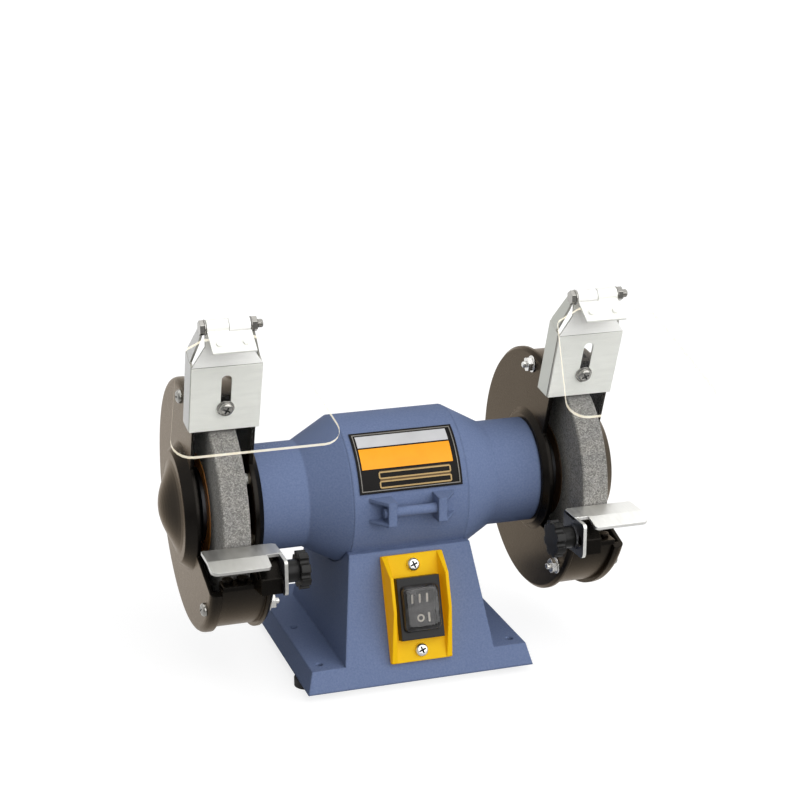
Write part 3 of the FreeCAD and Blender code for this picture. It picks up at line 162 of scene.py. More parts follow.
# screws, nuts and bolts, in millimetres, with the turn of a head in radians
SCREW_RADIUS = 2.0
SCREW_HEAD_RADIUS = 4.0
SCREW_HEAD_HEIGHT = 2.6
NUT_WASHER = [(2.2, 0.0), (5.2, 0.0), (5.2, 0.9), (2.2, 0.9)]
NUT_WASHER_HEIGHT = 0.9
NUT_FLATS = 8.0
NUT_HEIGHT = 3.2
NUT_BORE = 2.02
BOLT_END = [(1.9, 0.0), (1.9, 6.2), (1.3, 6.7), (0.0, 6.7)]
SPARK_WASHER = [(5.0, 0.0), (5.0, 0.8), (4.6, 1.0), (0.0, 1.0)]
SPARK_WASHER_HEIGHT = 1.0
SPARK_HEAD_RADIUS = 4.2
SPARK_HEAD_HEIGHT = 2.5
SPARK_HEAD_TURN = 0.5
SWITCH_HEAD_TURN = 0.35
SPARK_SCREW_RADIUS = 2.5
SPARK_SCREW_DEPTH = 4.5
HINGE_WASHER_RADIUS = 4.4
HINGE_HEAD_WASHER = 0.8
HINGE_NUT_WASHER = 0.6
HINGE_FLATS = 7.4
HINGE_HEAD_HEIGHT = 2.6
HINGE_NUT_HEIGHT = 3.0
HINGE_NUT_BORE = 2.3
HINGE_BOLT_END = 7.0
THREAD_START = 3.0
THREAD_END = 6.6
THREAD_PITCH = 0.9

# light levels, and the reach in y over which the floor and the room fade in reflections
FLOOR_ALBEDO = 0.32
FLOOR_GLOW = 0.79
WORLD_LIGHT = 0.40
WORLD_FRONT = 0.25
EDGE_GLOW = 0.85
FLOOR_FADE = (-0.35, 0.15)
ROOM_FADE = (-0.9, -0.1)
FLOOR_HALF = 9.0

# the fitted camera: angles in degrees, distance in metres, target, lens and sensor in millimetres
CAMERA_AZIMUTH = -17.642
CAMERA_ELEVATION = 19.988
CAMERA_ROLL = -0.357
CAMERA_DISTANCE = 1.10787
CAMERA_TARGET_HEIGHT = 88.802
CAMERA_LENS = 81.585
CAMERA_SENSOR = 36.0
CAMERA_SHIFT = (0.01371, 0.14063)


# materials
def new_material(name):
    mat = bpy.data.materials.new(name)
    mat.use_nodes = True
    tree = mat.node_tree
    tree.nodes.clear()
    out = tree.nodes.new("ShaderNodeOutputMaterial")
    bsdf = tree.nodes.new("ShaderNodeBsdfPrincipled")
    tree.links.new(bsdf.outputs["BSDF"], out.inputs["Surface"])
    return mat, tree, bsdf


def add(tree, kind, **settings):
    node = tree.nodes.new(kind)
    for key, value in settings.items():
        if key in node.inputs:
            node.inputs[key].default_value = value
        else:
            setattr(node, key, value)
    return node


def noise(tree, scale, detail):
    coord = add(tree, "ShaderNodeTexCoord")
    tex = add(tree, "ShaderNodeTexNoise", Scale=scale, Detail=detail, Roughness=0.55)
    tree.links.new(coord.outputs["Object"], tex.inputs["Vector"])
    return tex


def ramp(tree, source, stops):
    node = add(tree, "ShaderNodeValToRGB")
    elements = node.color_ramp.elements
    while len(elements) < len(stops):
        elements.new(0.5)
    for element, (place, colour) in zip(elements, stops):
        element.position = place
        element.color = tuple(colour) + (1.0,)
    tree.links.new(source, node.inputs["Fac"])
    return node


def grey(level):
    return (level, level, level)


def rough_grain(tree, bsdf, height, strength, distance, edge):
    """Bumps the surface by a height, over edges that look rounded to a radius."""
    soft = add(tree, "ShaderNodeBevel", Radius=edge, samples=4)
    node = add(tree, "ShaderNodeBump", Strength=strength, Distance=distance)
    tree.links.new(height, node.inputs["Height"])
    tree.links.new(soft.outputs["Normal"], node.inputs["Normal"])
    tree.links.new(node.outputs["Normal"], bsdf.inputs["Normal"])


def map_range(tree, value, source, target):
    """The value taken from one range to another, and held at its ends."""
    node = add(tree, "ShaderNodeMapRange")
    for name, number in zip(("From Min", "From Max", "To Min", "To Max"), source + target):
        node.inputs[name].default_value = number
    tree.links.new(value, node.inputs["Value"])
    return node.outputs["Result"]


def full_where_seen(tree, path, level):
    """The level, raised to 1 for the camera's own rays and those that pass through clear pieces."""
    for name in ("Is Camera Ray", "Is Transmission Ray"):
        seen = add(tree, "ShaderNodeMath", operation="MAXIMUM")
        tree.links.new(level, seen.inputs[0])
        tree.links.new(path.outputs[name], seen.inputs[1])
        level = seen.outputs["Value"]
    return level


def finish_of(name, dark, light, roughness, grain, depth, edge, specular=0.5, metallic=0.0,
              tint=None, cloud_scale=45.0, glow=None):
    """A surface that is a little cloudy in colour, with a fine grain and softened edges, and with glow
    a painted light: an emission, so the surface shines though it is no lamp.
    """
    mat, tree, bsdf = new_material(name)
    cloud = noise(tree, cloud_scale, 4.0)
    colour = ramp(tree, cloud.outputs["Fac"], [(0.3, dark), (0.7, light)])
    tree.links.new(colour.outputs["Color"], bsdf.inputs["Base Color"])
    fine = noise(tree, grain, 2.0)
    rough = ramp(tree, fine.outputs["Fac"], [
        (0.3, grey(roughness * 0.88)), (0.7, grey(min(1.0, roughness * 1.14)))])
    tree.links.new(rough.outputs["Color"], bsdf.inputs["Roughness"])
    rough_grain(tree, bsdf, fine.outputs["Fac"], depth, 0.0003, edge)
    bsdf.inputs["Specular IOR Level"].default_value = specular
    bsdf.inputs["Metallic"].default_value = metallic
    if tint:
        bsdf.inputs["Specular Tint"].default_value = tuple(tint) + (1.0,)
    # painted light: an emission that makes the surface glow by itself
    if glow:
        bsdf.inputs["Emission Color"].default_value = tuple(glow) + (1.0,)
        bsdf.inputs["Emission Strength"].default_value = 1.0
    return mat


def brushed(name, colour, roughness, streak, metallic=1.0):
    """Bare or plated metal with faint drawn lines."""
    mat, tree, bsdf = new_material(name)
    coord = add(tree, "ShaderNodeTexCoord")
    stretch = add(tree, "ShaderNodeMapping")
    stretch.inputs["Scale"].default_value = streak
    tree.links.new(coord.outputs["Object"], stretch.inputs["Vector"])
    lines = add(tree, "ShaderNodeTexNoise", Scale=1.0, Detail=3.0)
    tree.links.new(stretch.outputs["Vector"], lines.inputs["Vector"])
    shade = ramp(tree, lines.outputs["Fac"], [
        (0.25, tuple(c * 0.92 for c in colour)), (0.75, colour)])
    tree.links.new(shade.outputs["Color"], bsdf.inputs["Base Color"])
    bsdf.inputs["Metallic"].default_value = metallic
    rough = ramp(tree, lines.outputs["Fac"], [
        (0.25, grey(roughness * 0.85)), (0.75, grey(roughness * 1.15))])
    tree.links.new(rough.outputs["Color"], bsdf.inputs["Roughness"])
    rough_grain(tree, bsdf, lines.outputs["Fac"], 0.05, 0.0002, 0.0004)
    return mat


def abrasive(name):
    """Bonded grit: small grains of several greys in a darker bond."""
    mat, tree, bsdf = new_material(name)
    coord = add(tree, "ShaderNodeTexCoord")
    cells = add(tree, "ShaderNodeTexVoronoi", Scale=1700.0)
    tree.links.new(coord.outputs["Object"], cells.inputs["Vector"])
    separate = add(tree, "ShaderNodeSeparateColor")
    tree.links.new(cells.outputs["Color"], separate.inputs["Color"])
    grains = ramp(tree, separate.outputs["Red"], [
        (0.0, (0.135, 0.130, 0.122)), (0.35, (0.205, 0.200, 0.190)), (0.7, (0.280, 0.274, 0.262)),
        (0.95, (0.38, 0.37, 0.35))])
    patch = noise(tree, 90.0, 3.0)
    tone = ramp(tree, patch.outputs["Fac"], [(0.35, grey(0.86)), (0.7, (1.0, 0.985, 0.95))])
    blend = add(tree, "ShaderNodeMix", data_type="RGBA", blend_type="MULTIPLY")
    blend.inputs["Factor"].default_value = 1.0
    tree.links.new(grains.outputs["Color"], blend.inputs["A"])
    tree.links.new(tone.outputs["Color"], blend.inputs["B"])
    tree.links.new(blend.outputs["Result"], bsdf.inputs["Base Color"])
    bsdf.inputs["Roughness"].default_value = 0.88
    pits = noise(tree, 1900.0, 3.0)
    rough_grain(tree, bsdf, pits.outputs["Fac"], 0.5, 0.0004, 0.0004)
    return mat


def see_through(name, tint, reflect, edge_tint=None, edge_power=0.5, cloud=0.03, film=None):
    """A thin clear sheet: mostly let through, a little reflected, darker where seen edge-on."""
    mat, tree, bsdf = new_material(name)
    tree.nodes.remove(bsdf)
    out = tree.nodes[0]
    through = add(tree, "ShaderNodeBsdfTransparent")
    haze = noise(tree, 60.0, 2.0)
    face = ramp(tree, haze.outputs["Fac"], [
        (0.3, tuple(max(0.0, c - cloud) for c in tint)), (0.7, tint)])
    colour = face.outputs["Color"]
    if edge_tint:
        facing = add(tree, "ShaderNodeLayerWeight", Blend=edge_power)
        mixed = add(tree, "ShaderNodeMix", data_type="RGBA")
        tree.links.new(facing.outputs["Facing"], mixed.inputs["Factor"])
        tree.links.new(colour, mixed.inputs["A"])
        mixed.inputs["B"].default_value = tuple(edge_tint) + (1.0,)
        colour = mixed.outputs["Result"]
    tree.links.new(colour, through.inputs["Color"])
    shine = add(tree, "ShaderNodeBsdfGlossy", Roughness=0.08)
    weight = add(tree, "ShaderNodeFresnel", IOR=1.4)
    scaled = add(tree, "ShaderNodeMath", operation="MULTIPLY")
    tree.links.new(weight.outputs["Fac"], scaled.inputs[0])
    scaled.inputs[1].default_value = reflect
    mix = add(tree, "ShaderNodeMixShader")
    tree.links.new(scaled.outputs["Value"], mix.inputs["Fac"])
    tree.links.new(through.outputs["BSDF"], mix.inputs[1])
    tree.links.new(shine.outputs["BSDF"], mix.inputs[2])
    if film:
        bloom = add(tree, "ShaderNodeBsdfDiffuse")
        bloom.inputs["Color"].default_value = tuple(film) + (1.0,)
        streaks = noise(tree, 130.0, 4.0)
        amount = ramp(tree, streaks.outputs["Fac"], [(0.42, grey(0.03)), (0.66, grey(0.42))])
        filmed = add(tree, "ShaderNodeMixShader")
        tree.links.new(amount.outputs["Color"], filmed.inputs["Fac"])
        tree.links.new(mix.outputs["Shader"], filmed.inputs[1])
        tree.links.new(bloom.outputs["BSDF"], filmed.inputs[2])
        mix = filmed
    tree.links.new(mix.outputs["Shader"], out.inputs["Surface"])
    return mat


def lit_edge(name, dark, light, share):
    """The cut edge of a clear sheet: cloudy, and bright with a painted glow, an emission that stands
    for the light the sheet carries to it.
    """
    mat, tree, bsdf = new_material(name)
    out = tree.nodes[0]
    cloud = noise(tree, 300.0, 2.0)
    colour = ramp(tree, cloud.outputs["Fac"], [(0.3, dark), (0.7, light)])
    tree.links.new(colour.outputs["Color"], bsdf.inputs["Base Color"])
    bsdf.inputs["Roughness"].default_value = 0.35
    tree.links.new(colour.outputs["Color"], bsdf.inputs["Emission Color"])
    bsdf.inputs["Emission Strength"].default_value = EDGE_GLOW
    through = add(tree, "ShaderNodeBsdfTransparent")
    mix = add(tree, "ShaderNodeMixShader", Fac=share)
    tree.links.new(through.outputs["BSDF"], mix.inputs[1])
    tree.links.new(bsdf.outputs["BSDF"], mix.inputs[2])
    tree.links.new(mix.outputs["Shader"], out.inputs["Surface"])
    return mat


def printed(name, dark, light, specular, roughness=0.4):
    """Smooth ink on a plate."""
    return finish_of(
        name, dark, light, roughness, grain=900.0, depth=0.04, edge=0.0002, specular=specular)


# how often the drawn lines change along x, y and z, per metre
LEVEL_LINES = (90.0, 90.0, 420.0)
LINES_ALONG_Y = (500.0, 70.0, 500.0)
LINES_ALONG_X = (60.0, 900.0, 900.0)
LAMINATIONS = (2500.0, 60.0, 60.0)
DRAWN_RINGS = (900.0, 60.0, 60.0)
EVEN_GRAIN = (500.0, 500.0, 500.0)
FINE_GRAIN = (900.0, 900.0, 900.0)

blue = finish_of(
    "slate_blue_paint", (0.119, 0.159, 0.278), (0.151, 0.194, 0.318), roughness=0.55, grain=1500.0,
    depth=0.30, edge=0.0018, specular=0.03, cloud_scale=900.0)
black = finish_of(
    "black_enamel", (0.010, 0.0090, 0.0080), (0.015, 0.0135, 0.012), roughness=0.30, grain=1300.0,
    depth=0.10, edge=0.0012, metallic=0.92, tint=(1.0, 0.885, 0.765))
zinc = brushed("zinc_plate", (0.95, 0.955, 0.90), 0.36, LEVEL_LINES, metallic=0.15)
# painted light: a lit copy of the zinc plate, whiter and less metallic, for the spark brackets' necks,
# barrels and left sides
zinc_painted_lit = brushed("zinc_painted_lit", (0.99, 0.985, 0.965), 0.38, LEVEL_LINES, metallic=0.05)
# painted shade and painted light: the two tool rests are the same plated sheet, the left one painted
# darker and the right one painted lighter
zinc_rest_painted_shade = brushed("zinc_rest_painted_shade", (0.62, 0.615, 0.59), 0.40, LINES_ALONG_Y)
zinc_rest_painted_lit = brushed("zinc_rest_painted_lit", (0.95, 0.945, 0.91), 0.40, LINES_ALONG_Y)
zinc_edge = brushed("zinc_edge", (0.42, 0.41, 0.37), 0.38, EVEN_GRAIN)
# painted shade: a shaded copy of the zinc, darker, for the right spark bracket's sides
zinc_shade = brushed("zinc_shade", (0.50, 0.51, 0.47), 0.38, LEVEL_LINES)
# painted shade: a near-black copy of the zinc for the tool rests' cheek faces, for the shade they sit
# in
zinc_cheek_painted_shade = brushed("zinc_cheek_painted_shade", (0.13, 0.135, 0.15), 0.38, LINES_ALONG_Y)
bright_zinc = finish_of(
    "bright_zinc", (0.66, 0.65, 0.63), (0.76, 0.75, 0.72), roughness=0.28, grain=700.0,
    depth=0.05, edge=0.0003, metallic=1.0)
screw_zinc = finish_of(
    "screw_zinc", (0.30, 0.29, 0.27), (0.42, 0.41, 0.385), roughness=0.20, grain=700.0,
    depth=0.10, edge=0.0003, metallic=1.0)
# painted shade: the cross recess of each screw head is near black, for the shade inside it
recess = finish_of(
    "screw_recess_painted_shade", (0.03, 0.03, 0.03), (0.06, 0.058, 0.055), roughness=0.5, grain=900.0,
    depth=0.10, edge=0.0001, specular=0.3)
steel = brushed("machined_steel", (0.55, 0.55, 0.55), 0.35, LINES_ALONG_X)
# painted shade: a near-black copy of the steel for the wheel flanges and rest washers, for the shade
# they sit in
steel_painted_shade = brushed("steel_painted_shade", (0.10, 0.10, 0.105), 0.40, LINES_ALONG_X)
lamination = brushed("lamination_steel", (0.32, 0.32, 0.33), 0.45, LAMINATIONS)
copper = brushed("copper_winding", (0.72, 0.33, 0.16), 0.35, FINE_GRAIN)
can = brushed("drawn_can", (0.62, 0.62, 0.63), 0.32, DRAWN_RINGS)
# painted light: the yellow plastic has an emission glow that brightens it beyond the lamps
yellow = finish_of(
    "yellow_plastic", (0.51, 0.360, 0.004), (0.56, 0.400, 0.007), roughness=0.45, grain=1400.0,
    depth=0.05, edge=0.0010, specular=0.10, glow=(0.27, 0.090, 0.0))
black_plastic = finish_of(
    "black_plastic", (0.006, 0.0057, 0.0054), (0.011, 0.0105, 0.010), roughness=0.34, grain=1400.0,
    depth=0.10, edge=0.0008, specular=0.22)
rubber = finish_of(
    "black_rubber", (0.010, 0.010, 0.010), (0.016, 0.016, 0.016), roughness=0.75, grain=1400.0,
    depth=0.20, edge=0.0008)
paper = finish_of(
    "blotter_paper", (0.40, 0.15, 0.03), (0.55, 0.22, 0.05), roughness=0.45, grain=1400.0,
    depth=0.10, edge=0.0001)
# painted shade: a dark copy of the blotter paper for the right wheel's blotters, which are in shade
paper_painted_shade = finish_of(
    "paper_painted_shade", (0.05, 0.028, 0.014), (0.08, 0.045, 0.022), roughness=0.5, grain=1400.0,
    depth=0.10, edge=0.0001, specular=0.2)
grit = abrasive("grey_abrasive")
clear = see_through("clear_acrylic", (0.988, 0.990, 0.988), reflect=0.05, cloud=0.01)
# painted light: the shields' cut edges glow cream, an emission on a part that is no lamp
clear_edge = lit_edge("acrylic_edge", (0.96, 0.86, 0.64), (1.0, 0.95, 0.80), share=0.55)
smoke = see_through(
    "smoky_vinyl", (0.74, 0.73, 0.72), reflect=1.6, edge_tint=(0.30, 0.20, 0.12), edge_power=0.30,
    film=(0.17, 0.165, 0.165))
silver_print = printed("silver_print", (0.46, 0.46, 0.47), (0.54, 0.54, 0.55), 0.3)
orange_print = printed("orange_print", (0.83, 0.30, 0.006), (0.90, 0.36, 0.010), 0.2)
gold_print = printed("gold_print", (0.34, 0.22, 0.08), (0.46, 0.31, 0.12), 0.3)
black_print = printed("black_print", (0.005, 0.004, 0.004), (0.009, 0.008, 0.007), 0.08)
brown_print = printed("brown_print", (0.075, 0.042, 0.014), (0.12, 0.068, 0.022), 0.2)
pale_line = printed("pale_line", (0.16, 0.15, 0.135), (0.24, 0.225, 0.20), 0.3)
white_mark = printed("white_mark", (0.86, 0.83, 0.74), (0.95, 0.92, 0.84), 0.3, roughness=0.5)

FINISHES = {
    "housing_paint": blue,
    "guard_black": black,
    "abrasive": grit,
    "zinc": zinc,
    "steel": steel,
    "lamination": lamination,
    "copper": copper,
    "paper": paper,
    "acrylic": clear,
    "yellow_plastic": yellow,
    "black_plastic": black_plastic,
    "smoke_clear": smoke,
    "plate_print": black_print,
    "rubber": rubber,
    "grey_can": can,
}
for entry in frame["record"]["subparts"]:
    obj = nodes[entry["node"]]
    obj.data.materials.clear()
    obj.data.materials.append(FINISHES[entry["material_slot"]])
# painted shade: the wheel flanges and rest washers take the near-black copy of the steel
for word, _ in SIDES:
    for name in ("_rest_washer", "_outer_flange", "_inner_flange"):
        nodes[word + name].data.materials[0] = steel_painted_shade
# painted shade: the right blotters take the dark copy of the paper
nodes["right_blotters"].data.materials[0] = paper_painted_shade


# outlines and solids, in millimetres in a piece's own frame
UPRIGHT = Matrix(((1, 0, 0, 0), (0, 0, -1, 0), (0, 1, 0, 0), (0, 0, 0, 1)))
SIDEWAYS = Matrix(((0, 0, 1, 0), (1, 0, 0, 0), (0, 1, 0, 0), (0, 0, 0, 1)))
RIGHTWARDS = Matrix.Rotation(math.radians(90.0), 4, "Y")


def turn_x(degrees):
    return Matrix.Rotation(math.radians(degrees), 4, "X")


def shift(x, y, z):
    return Matrix.Translation((x, y, z))


def arc(cx, cy, radius, start, end, steps):
    angles = [math.radians(start + (end - start) * i / steps) for i in range(steps + 1)]
    return [(cx + radius * math.cos(a), cy + radius * math.sin(a)) for a in angles]


def circle(cx, cy, radius, steps=32):
    return arc(cx, cy, radius, 0.0, 360.0, steps)[:-1]


def rounded(points, radii, steps=6):
    """The outline with each corner turned into an arc of its own radius."""
    if not isinstance(radii, (list, tuple)):
        radii = [radii] * len(points)
    loop = []
    for i, (point, radius) in enumerate(zip(points, radii)):
        here = Vector(point)
        before = (Vector(points[i - 1]) - here).normalized()
        after = (Vector(points[(i + 1) % len(points)]) - here).normalized()
        if radius == 0.0:
            loop.append(tuple(here))
            continue
        half = before.angle(after) / 2.0
        centre = here + (before + after).normalized() * (radius / math.sin(half))
        first = here + before * (radius / math.tan(half)) - centre
        last = here + after * (radius / math.tan(half)) - centre
        sweep = first.angle_signed(last)
        for step in range(steps + 1):
            turn = Matrix.Rotation(-sweep * step / steps, 2)
            loop.append(tuple(centre + turn @ first))
    return loop


def stadium(cx, low, high, radius, steps=10):
    lower = arc(cx, low + radius, radius, 180.0, 360.0, steps)
    return lower + arc(cx, high - radius, radius, 0.0, 180.0, steps)


def rectangle(x0, y0, x1, y1):
    return [(x0, y0), (x1, y0), (x1, y1), (x0, y1)]


def add_plate(bm, loops, thickness, place, slot=0, side_slot=None):
    """A flat plate with holes: loops in the place's XY plane, thick along its Z.

    The faces take slot, and the edges take side_slot where one is given."""
    edges = []
    for loop in loops:
        ring = [bm.verts.new((x, y, 0.0)) for x, y in loop]
        edges += [bm.edges.new((ring[i], ring[(i + 1) % len(ring)])) for i in range(len(ring))]
    filled = bmesh.ops.triangle_fill(bm, edges=edges, use_beauty=True, use_dissolve=False)
    faces = [g for g in filled["geom"] if isinstance(g, bmesh.types.BMFace)]
    base_verts = {v for f in faces for v in f.verts}
    raised = bmesh.ops.extrude_face_region(bm, geom=faces, use_keep_orig=True)["geom"]
    top_verts = {g for g in raised if isinstance(g, bmesh.types.BMVert)}
    for vert in top_verts:
        vert.co.z += thickness
    verts = base_verts | top_verts
    every = {f for v in verts for f in v.link_faces}
    for face in every:
        levels = {round(v.co.z, 6) for v in face.verts}
        face.material_index = slot if len(levels) == 1 or side_slot is None else side_slot
    bmesh.ops.recalc_face_normals(bm, faces=list(every))
    bmesh.ops.transform(bm, matrix=place, verts=list(verts))


def add_turned(bm, profile, place, steps=32, slot=0):
    """A solid turned about the place's Z axis from (radius, height) points."""
    rings = []
    for radius, height in profile:
        if radius == 0.0:
            rings.append([bm.verts.new((0.0, 0.0, height))])
        else:
            rings.append([bm.verts.new((x, y, height)) for x, y in circle(0.0, 0.0, radius, steps)])
    faces = []
    for low, high in zip(rings, rings[1:]):
        for i in range(steps):
            j = (i + 1) % steps
            if len(low) == 1:
                corners = (low[0], high[j], high[i])
            elif len(high) == 1:
                corners = (low[i], low[j], high[0])
            else:
                corners = (low[i], low[j], high[j], high[i])
            faces.append(bm.faces.new(corners))
    for ring in (rings[0], rings[-1]):
        if len(ring) > 1:
            faces.append(bm.faces.new(ring))
    for face in faces:
        face.material_index = slot
    bmesh.ops.recalc_face_normals(bm, faces=faces)
    bmesh.ops.transform(bm, matrix=place, verts=[v for ring in rings for v in ring])


def add_cross_head(bm, radius, height, place):
    """A pan head in slot 0 with a cross recess in slot 1, standing on the place's XY plane."""
    steps = 32
    profile = [(1.0, 0.0), (1.0, 0.28), (0.95, 0.60), (0.83, 0.84), (0.64, 1.0)]
    rings = [
        [bm.verts.new((x, y, h * height)) for x, y in circle(0.0, 0.0, r * radius, steps)]
        for r, h in profile]
    faces = [bm.faces.new(list(reversed(rings[0])))]
    for low, high in zip(rings, rings[1:]):
        for i in range(steps):
            j = (i + 1) % steps
            faces.append(bm.faces.new((low[i], low[j], high[j], high[i])))
    arm = 0.56 * radius
    half = 0.13 * radius
    quarter = [(half, half), (half, arm), (-half, arm)]
    cross = []
    for turn in range(4):
        spin = Matrix.Rotation(math.radians(90.0 * turn), 2)
        cross += [tuple(spin @ Vector(p)) for p in quarter]
    mouth = [bm.verts.new((x, y, height)) for x, y in cross]
    floor = [bm.verts.new((x * 0.72, y * 0.72, height * 0.35)) for x, y in cross]
    count = len(cross)
    edges = [bm.edges.new((mouth[i], mouth[(i + 1) % count])) for i in range(count)]
    top = rings[-1]
    edges += [bm.edges.get((top[i], top[(i + 1) % steps])) for i in range(steps)]
    crown = bmesh.ops.triangle_fill(bm, edges=edges, use_beauty=True, use_dissolve=False)["geom"]
    faces += [g for g in crown if isinstance(g, bmesh.types.BMFace)]
    recessed = []
    for i in range(count):
        j = (i + 1) % count
        recessed.append(bm.faces.new((mouth[i], mouth[j], floor[j], floor[i])))
    recessed.append(bm.faces.new(floor))
    for face in recessed:
        face.material_index = 1
    faces += recessed
    bmesh.ops.recalc_face_normals(bm, faces=faces)
    verts = {v for f in faces for v in f.verts}
    bmesh.ops.transform(bm, matrix=place, verts=list(verts))


def cut_across(bm, levels):
    """Cuts the mesh at each level of y, so that it can be bent there."""
    for level in levels:
        geom = bm.verts[:] + bm.edges[:] + bm.faces[:]
        bmesh.ops.bisect_plane(bm, geom=geom, plane_co=(0.0, level, 0.0), plane_no=(0.0, 1.0, 0.0))


def add_hexagon(bm, flats, height, place, hole=0.0):
    """A hexagon bar or nut, by the distance across its flats."""
    loops = [circle(0.0, 0.0, flats / math.sqrt(3), 6)]
    if hole:
        loops.append(circle(0.0, 0.0, hole, 24))
    add_plate(bm, loops, height, place)


def piece(name, bm, body, materials, place=Matrix(), stands_for=(), bevel=0.0,
          sharp=35.0):
    """Puts a finished mesh in the shared frame, on its body, in place of the nodes it stands for."""
    mesh = bpy.data.meshes.new(name)
    bm.to_mesh(mesh)
    bm.free()
    mesh.transform(Matrix.Scale(MM, 4) @ shift(0.0, SETBACK, 0.0) @ place)
    if place.determinant() < 0.0:
        mesh.flip_normals()
    for mat in materials:
        mesh.materials.append(mat)
    mesh.shade_smooth()
    mesh.set_sharp_from_angle(angle=math.radians(sharp))
    obj = bpy.data.objects.new(name, mesh)
    bpy.context.scene.collection.objects.link(obj)
    if bevel:
        edges = obj.modifiers.new("edges", "BEVEL")
        edges.width = bevel * MM
        edges.segments = 2
        edges.limit_method = "ANGLE"
        edges.angle_limit = math.radians(40.0)
        edges.harden_normals = True
    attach(obj, body)
    if stands_for:
        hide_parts(*stands_for)


def mirrored(side):
    """Turns the right-hand shape into the left-hand one where side is -1."""
    return Matrix.Scale(side, 4, (1.0, 0.0, 0.0))


leaned = shift(0.0, 0.0, AXIS_HEIGHT) @ turn_x(SPARK_TILT)

# the hinge line, first in the leaned frame of the spark bracket and then upright
neck_sine = math.sin(math.radians(NECK_TILT))
neck_cosine = math.cos(math.radians(NECK_TILT))
hinge_lead = KNUCKLE_RADIUS - SPARK_SHEET / 2
hinge_y = (HINGE_RISE * neck_sine - hinge_lead) / neck_cosine - SPARK_OFFSET - SPARK_SHEET / 2
hinge_z = SPARK_HIGH + HINGE_RISE
hinge = leaned @ Vector((0.0, hinge_y, hinge_z))


def build_spark_bracket(word, side):
    """Folded sheet: slotted front plate, neck, deep sides, and a strut from each side to the hinge.

    The material slots are 0 front plate, 1 neck and barrel, 2 sides and struts, 3 cut edges."""
    bm = bmesh.new()
    front = shift(0.0, -SPARK_OFFSET, 0.0) @ UPRIGHT
    add_plate(bm, [
        rectangle(SPARK_IN, SPARK_LOW, SPARK_OUT, SPARK_HIGH),
        stadium(SPARK_MIDDLE, SLOT_LOW, SLOT_HIGH, SLOT_HALF)], SPARK_SHEET, front, 0, 3)
    half = (SPARK_OUT - SPARK_IN) / 2
    tongue = HINGE_RISE * neck_cosine + (hinge_y + SPARK_OFFSET + SPARK_SHEET / 2) * neck_sine
    tongue -= KNUCKLE_RADIUS * 0.6
    add_plate(bm, [[
        (-half, -FOLD_OVERLAP), (half, -FOLD_OVERLAP), (NECK_HALF, NECK_SHOULDER), (NECK_HALF, tongue),
        (-NECK_HALF, tongue), (-NECK_HALF, NECK_SHOULDER)]], SPARK_SHEET,
        shift(SPARK_MIDDLE, -SPARK_OFFSET, SPARK_HIGH) @ turn_x(-NECK_TILT) @ UPRIGHT, 1, 3)
    side_front = -SPARK_OFFSET + SPARK_FOLD_GAP
    side_outline = [
        (side_front, SPARK_LOW - SPARK_FRONT_DIP), (SPARK_SIDE_BACK, SPARK_LOW - SPARK_SIDE_DIP),
        (SPARK_SIDE_BACK, SPARK_HIGH + SPARK_SHEET), (side_front, SPARK_HIGH)]
    reach = half - NECK_HALF - SPARK_SHEET
    foot = SPARK_HIGH - STRUT_OVERLAP
    rise = hinge_z + KNUCKLE_RADIUS * 0.5 - foot
    length = math.hypot(reach, rise)
    strut = [
        (side_front + STRUT_HEEL, 0.0), (SPARK_SIDE_BACK, 0.0), (SPARK_SIDE_BACK, STRUT_HEEL),
        (hinge_y + KNUCKLE_RADIUS, length), (hinge_y - STRUT_LEAD, length),
        (hinge_y - STRUT_LEAD, length * STRUT_WAIST)]
    for x, inward in ((SPARK_IN, 1.0), (SPARK_OUT - SPARK_SHEET, -1.0)):
        add_plate(bm, [side_outline], SPARK_SHEET, shift(x, 0.0, 0.0) @ SIDEWAYS, 2, 3)
        lean_in = Matrix.Rotation(inward * math.atan2(reach, rise), 4, "Y")
        add_plate(bm, [strut], SPARK_SHEET, shift(x, 0.0, foot) @ lean_in @ SIDEWAYS, 2, 3)
    barrel_length = NECK_HALF - JOINT_GAP / 2
    barrel = [
        (HINGE_BOLT_RADIUS, 0.0), (KNUCKLE_RADIUS, 0.0), (KNUCKLE_RADIUS, barrel_length),
        (HINGE_BOLT_RADIUS, barrel_length)]
    start = SPARK_MIDDLE - NECK_HALF
    add_turned(bm, barrel, shift(start, hinge_y, hinge_z) @ RIGHTWARDS, 28, 1)
    # painted light and painted shade: the neck and barrel take the lit copy of the zinc, and the sides
    # take the lit copy on the left and the shaded copy on the right
    piece(word + "_spark_bracket_sheet", bm, word + "_spark_guard",
          [zinc, zinc_painted_lit, zinc_painted_lit if side < 0 else zinc_shade, zinc_edge],
          mirrored(side) @ leaned, [word + "_spark_bracket"], bevel=0.35)


